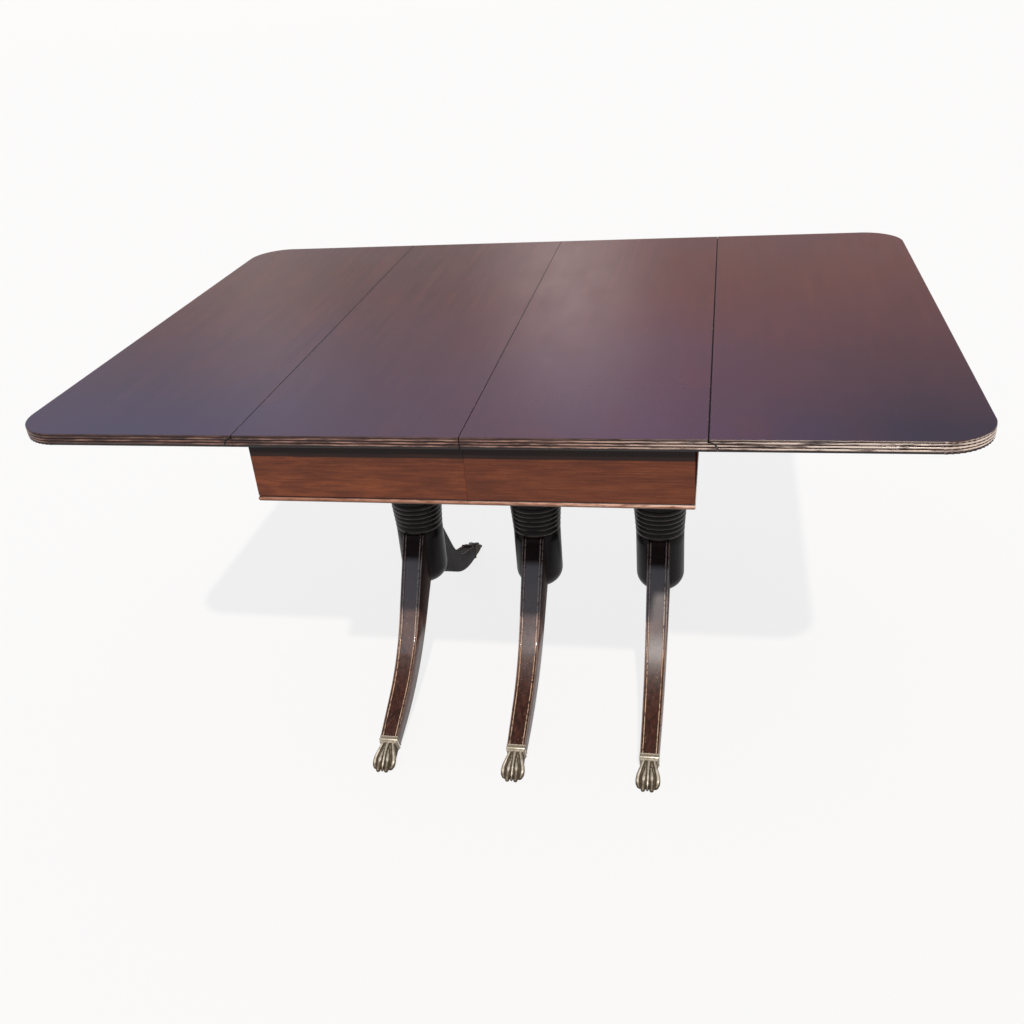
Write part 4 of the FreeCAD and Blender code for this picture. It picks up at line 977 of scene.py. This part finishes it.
# Rings of the sweep as (distance, height) in metres
floor_rings = ((0.01, 0.0), (3.0, 0.0), (7.0, 0.0), (20.0, 0.0), (24.0, 0.3), (28.0, 1.2), (32.0, 2.8),
               (35.0, 4.8), (38.0, 7.4), (40.5, 10.2))
floor_points, swept_faces = lathe(floor_rings, turns)
# The faces are turned over, so that they look up and inwards
floor_faces = [(a, d, c, b) for a, b, c, d in swept_faces]
floor_faces.append(tuple(range(turns)))
floor_mesh = bpy.data.meshes.new("floor")
floor_mesh.from_pydata(floor_points, [], floor_faces)
floor_mesh.polygons.foreach_set("use_smooth", [True] * len(floor_mesh.polygons))
floor_paint, tree = new_material("matt pale floor paint")
ray = add_node(tree, "LightPath")
mirrored = add_node(tree, "Math", {0: ray.outputs["Is Glossy Ray"], 1: ray.outputs["Is Transmission Ray"]},
                    operation="MAXIMUM")
seen = add_node(tree, "Math", {0: ray.outputs["Is Camera Ray"], 1: mirrored}, operation="MAXIMUM")
place = add_node(tree, "TexCoord").outputs["Object"]
height = add_node(tree, "SeparateXYZ", {"Vector": place}).outputs["Z"]
glow_fading_into_shade = add_node(tree, "MapRange", {"Value": height, "From Min": 1.0, "From Max": 9.0, "To Min": 0.82,
                                    "To Max": 0.22})
seen_glow = add_node(tree, "Math", {0: seen, 1: glow_fading_into_shade}, operation="MULTIPLY")
surface(tree, {"Base Color": linear("#62605f"), "Roughness": 0.9, "Specular IOR Level": 0.1,
               "Emission Color": linear("#ffffff"), "Emission Strength": seen_glow})
floor_mesh.materials.append(floor_paint)
floor = bpy.data.objects.new("floor", floor_mesh)
bpy.context.scene.collection.objects.link(floor)


# Light
# A warm key, a little soft, from the front and above.
# The sky is pale, bluer overhead, and dimmer low down and to the right.

key = bpy.data.lights.new("key", "SUN")
key.energy = 3.1
key.angle = math.radians(1.5)
key.color = (1.0, 0.95, 0.88)
key_lamp = bpy.data.objects.new("key", key)
key_from = Vector((0.25, -1.0, 1.23))
key_lamp.rotation_euler = key_from.to_track_quat("Z", "Y").to_euler()
bpy.context.scene.collection.objects.link(key_lamp)

world = bpy.data.worlds.new("studio")
bpy.context.scene.world = world
world.use_nodes = True
sky = world.node_tree
sky.nodes.clear()
toward = add_node(sky, "SeparateXYZ", {"Vector": add_node(sky, "TexCoord").outputs["Generated"]})
sky_colour = add_node(sky, "ValToRGB", {"Fac": toward.outputs["Z"]}, stops=[
    (0.0, "#857876"), (0.24, "#7a6c68"), (0.31, "#bcb1b1"), (0.38, "#aeb0c4"), (0.6, "#bfc1cc")])
sky_level = add_node(sky, "MapRange", {"Value": toward.outputs["X"], "From Min": -0.6, "From Max": 0.4,
                                       "To Min": 1.08, "To Max": 0.72})

# Bright gaps low in the sky behind the table, which the top mirrors, as (middle, half width, brightness)
glare_gaps = ((-0.14, 0.09, 3.8), (-0.41, 0.08, 1.2))
low_down = add_node(sky, "MapRange", {"Value": toward.outputs["Z"], "From Min": 0.4, "From Max": 0.27})
behind = add_node(sky, "MapRange", {"Value": toward.outputs["Y"], "From Max": 0.2})
low_behind = add_node(sky, "Math", {0: low_down, 1: behind}, operation="MULTIPLY")
for centre, half, extra in glare_gaps:
    from_centre = add_node(sky, "Math", {0: toward.outputs["X"], 1: centre}, operation="SUBTRACT")
    offset = add_node(sky, "Math", {0: from_centre}, operation="ABSOLUTE")
    nearness = add_node(sky, "MapRange", {"Value": offset, "From Min": half, "From Max": 0.0,
                                          "To Max": extra})
    gap = add_node(sky, "Math", {0: low_behind, 1: nearness}, operation="MULTIPLY")
    sky_level = add_node(sky, "Math", {0: sky_level, 1: gap}, operation="ADD")
glow = add_node(sky, "Background", {"Color": sky_colour, "Strength": sky_level})
add_node(sky, "OutputWorld", {"Surface": glow})


# Camera
# Standing height, looking down on the front edge, as in the photograph.

camera_place = Vector((0.358762, -1.808707, 1.354419))
camera_yaw = math.radians(13.073)
camera_pitch = math.radians(29.765)
camera_roll = math.radians(-5.066)
forward = Vector((-math.sin(camera_yaw) * math.cos(camera_pitch),
                  math.cos(camera_yaw) * math.cos(camera_pitch), -math.sin(camera_pitch)))
level = Vector((math.cos(camera_yaw), math.sin(camera_yaw), 0))
upward = level.cross(forward)
right = level * math.cos(camera_roll) + upward * math.sin(camera_roll)
up = upward * math.cos(camera_roll) - level * math.sin(camera_roll)
lens = bpy.data.cameras.new("camera")
lens.sensor_width = 36
lens.lens = 36.378
lens.shift_x = 0.0036
lens.shift_y = 0.01865
camera = bpy.data.objects.new("camera", lens)
turned = Matrix((right, up, -forward)).transposed().to_4x4()
camera.matrix_world = Matrix.Translation(camera_place) @ turned
bpy.context.scene.collection.objects.link(camera)
bpy.context.scene.camera = camera
bpy.context.scene.view_settings.view_transform = "Standard"
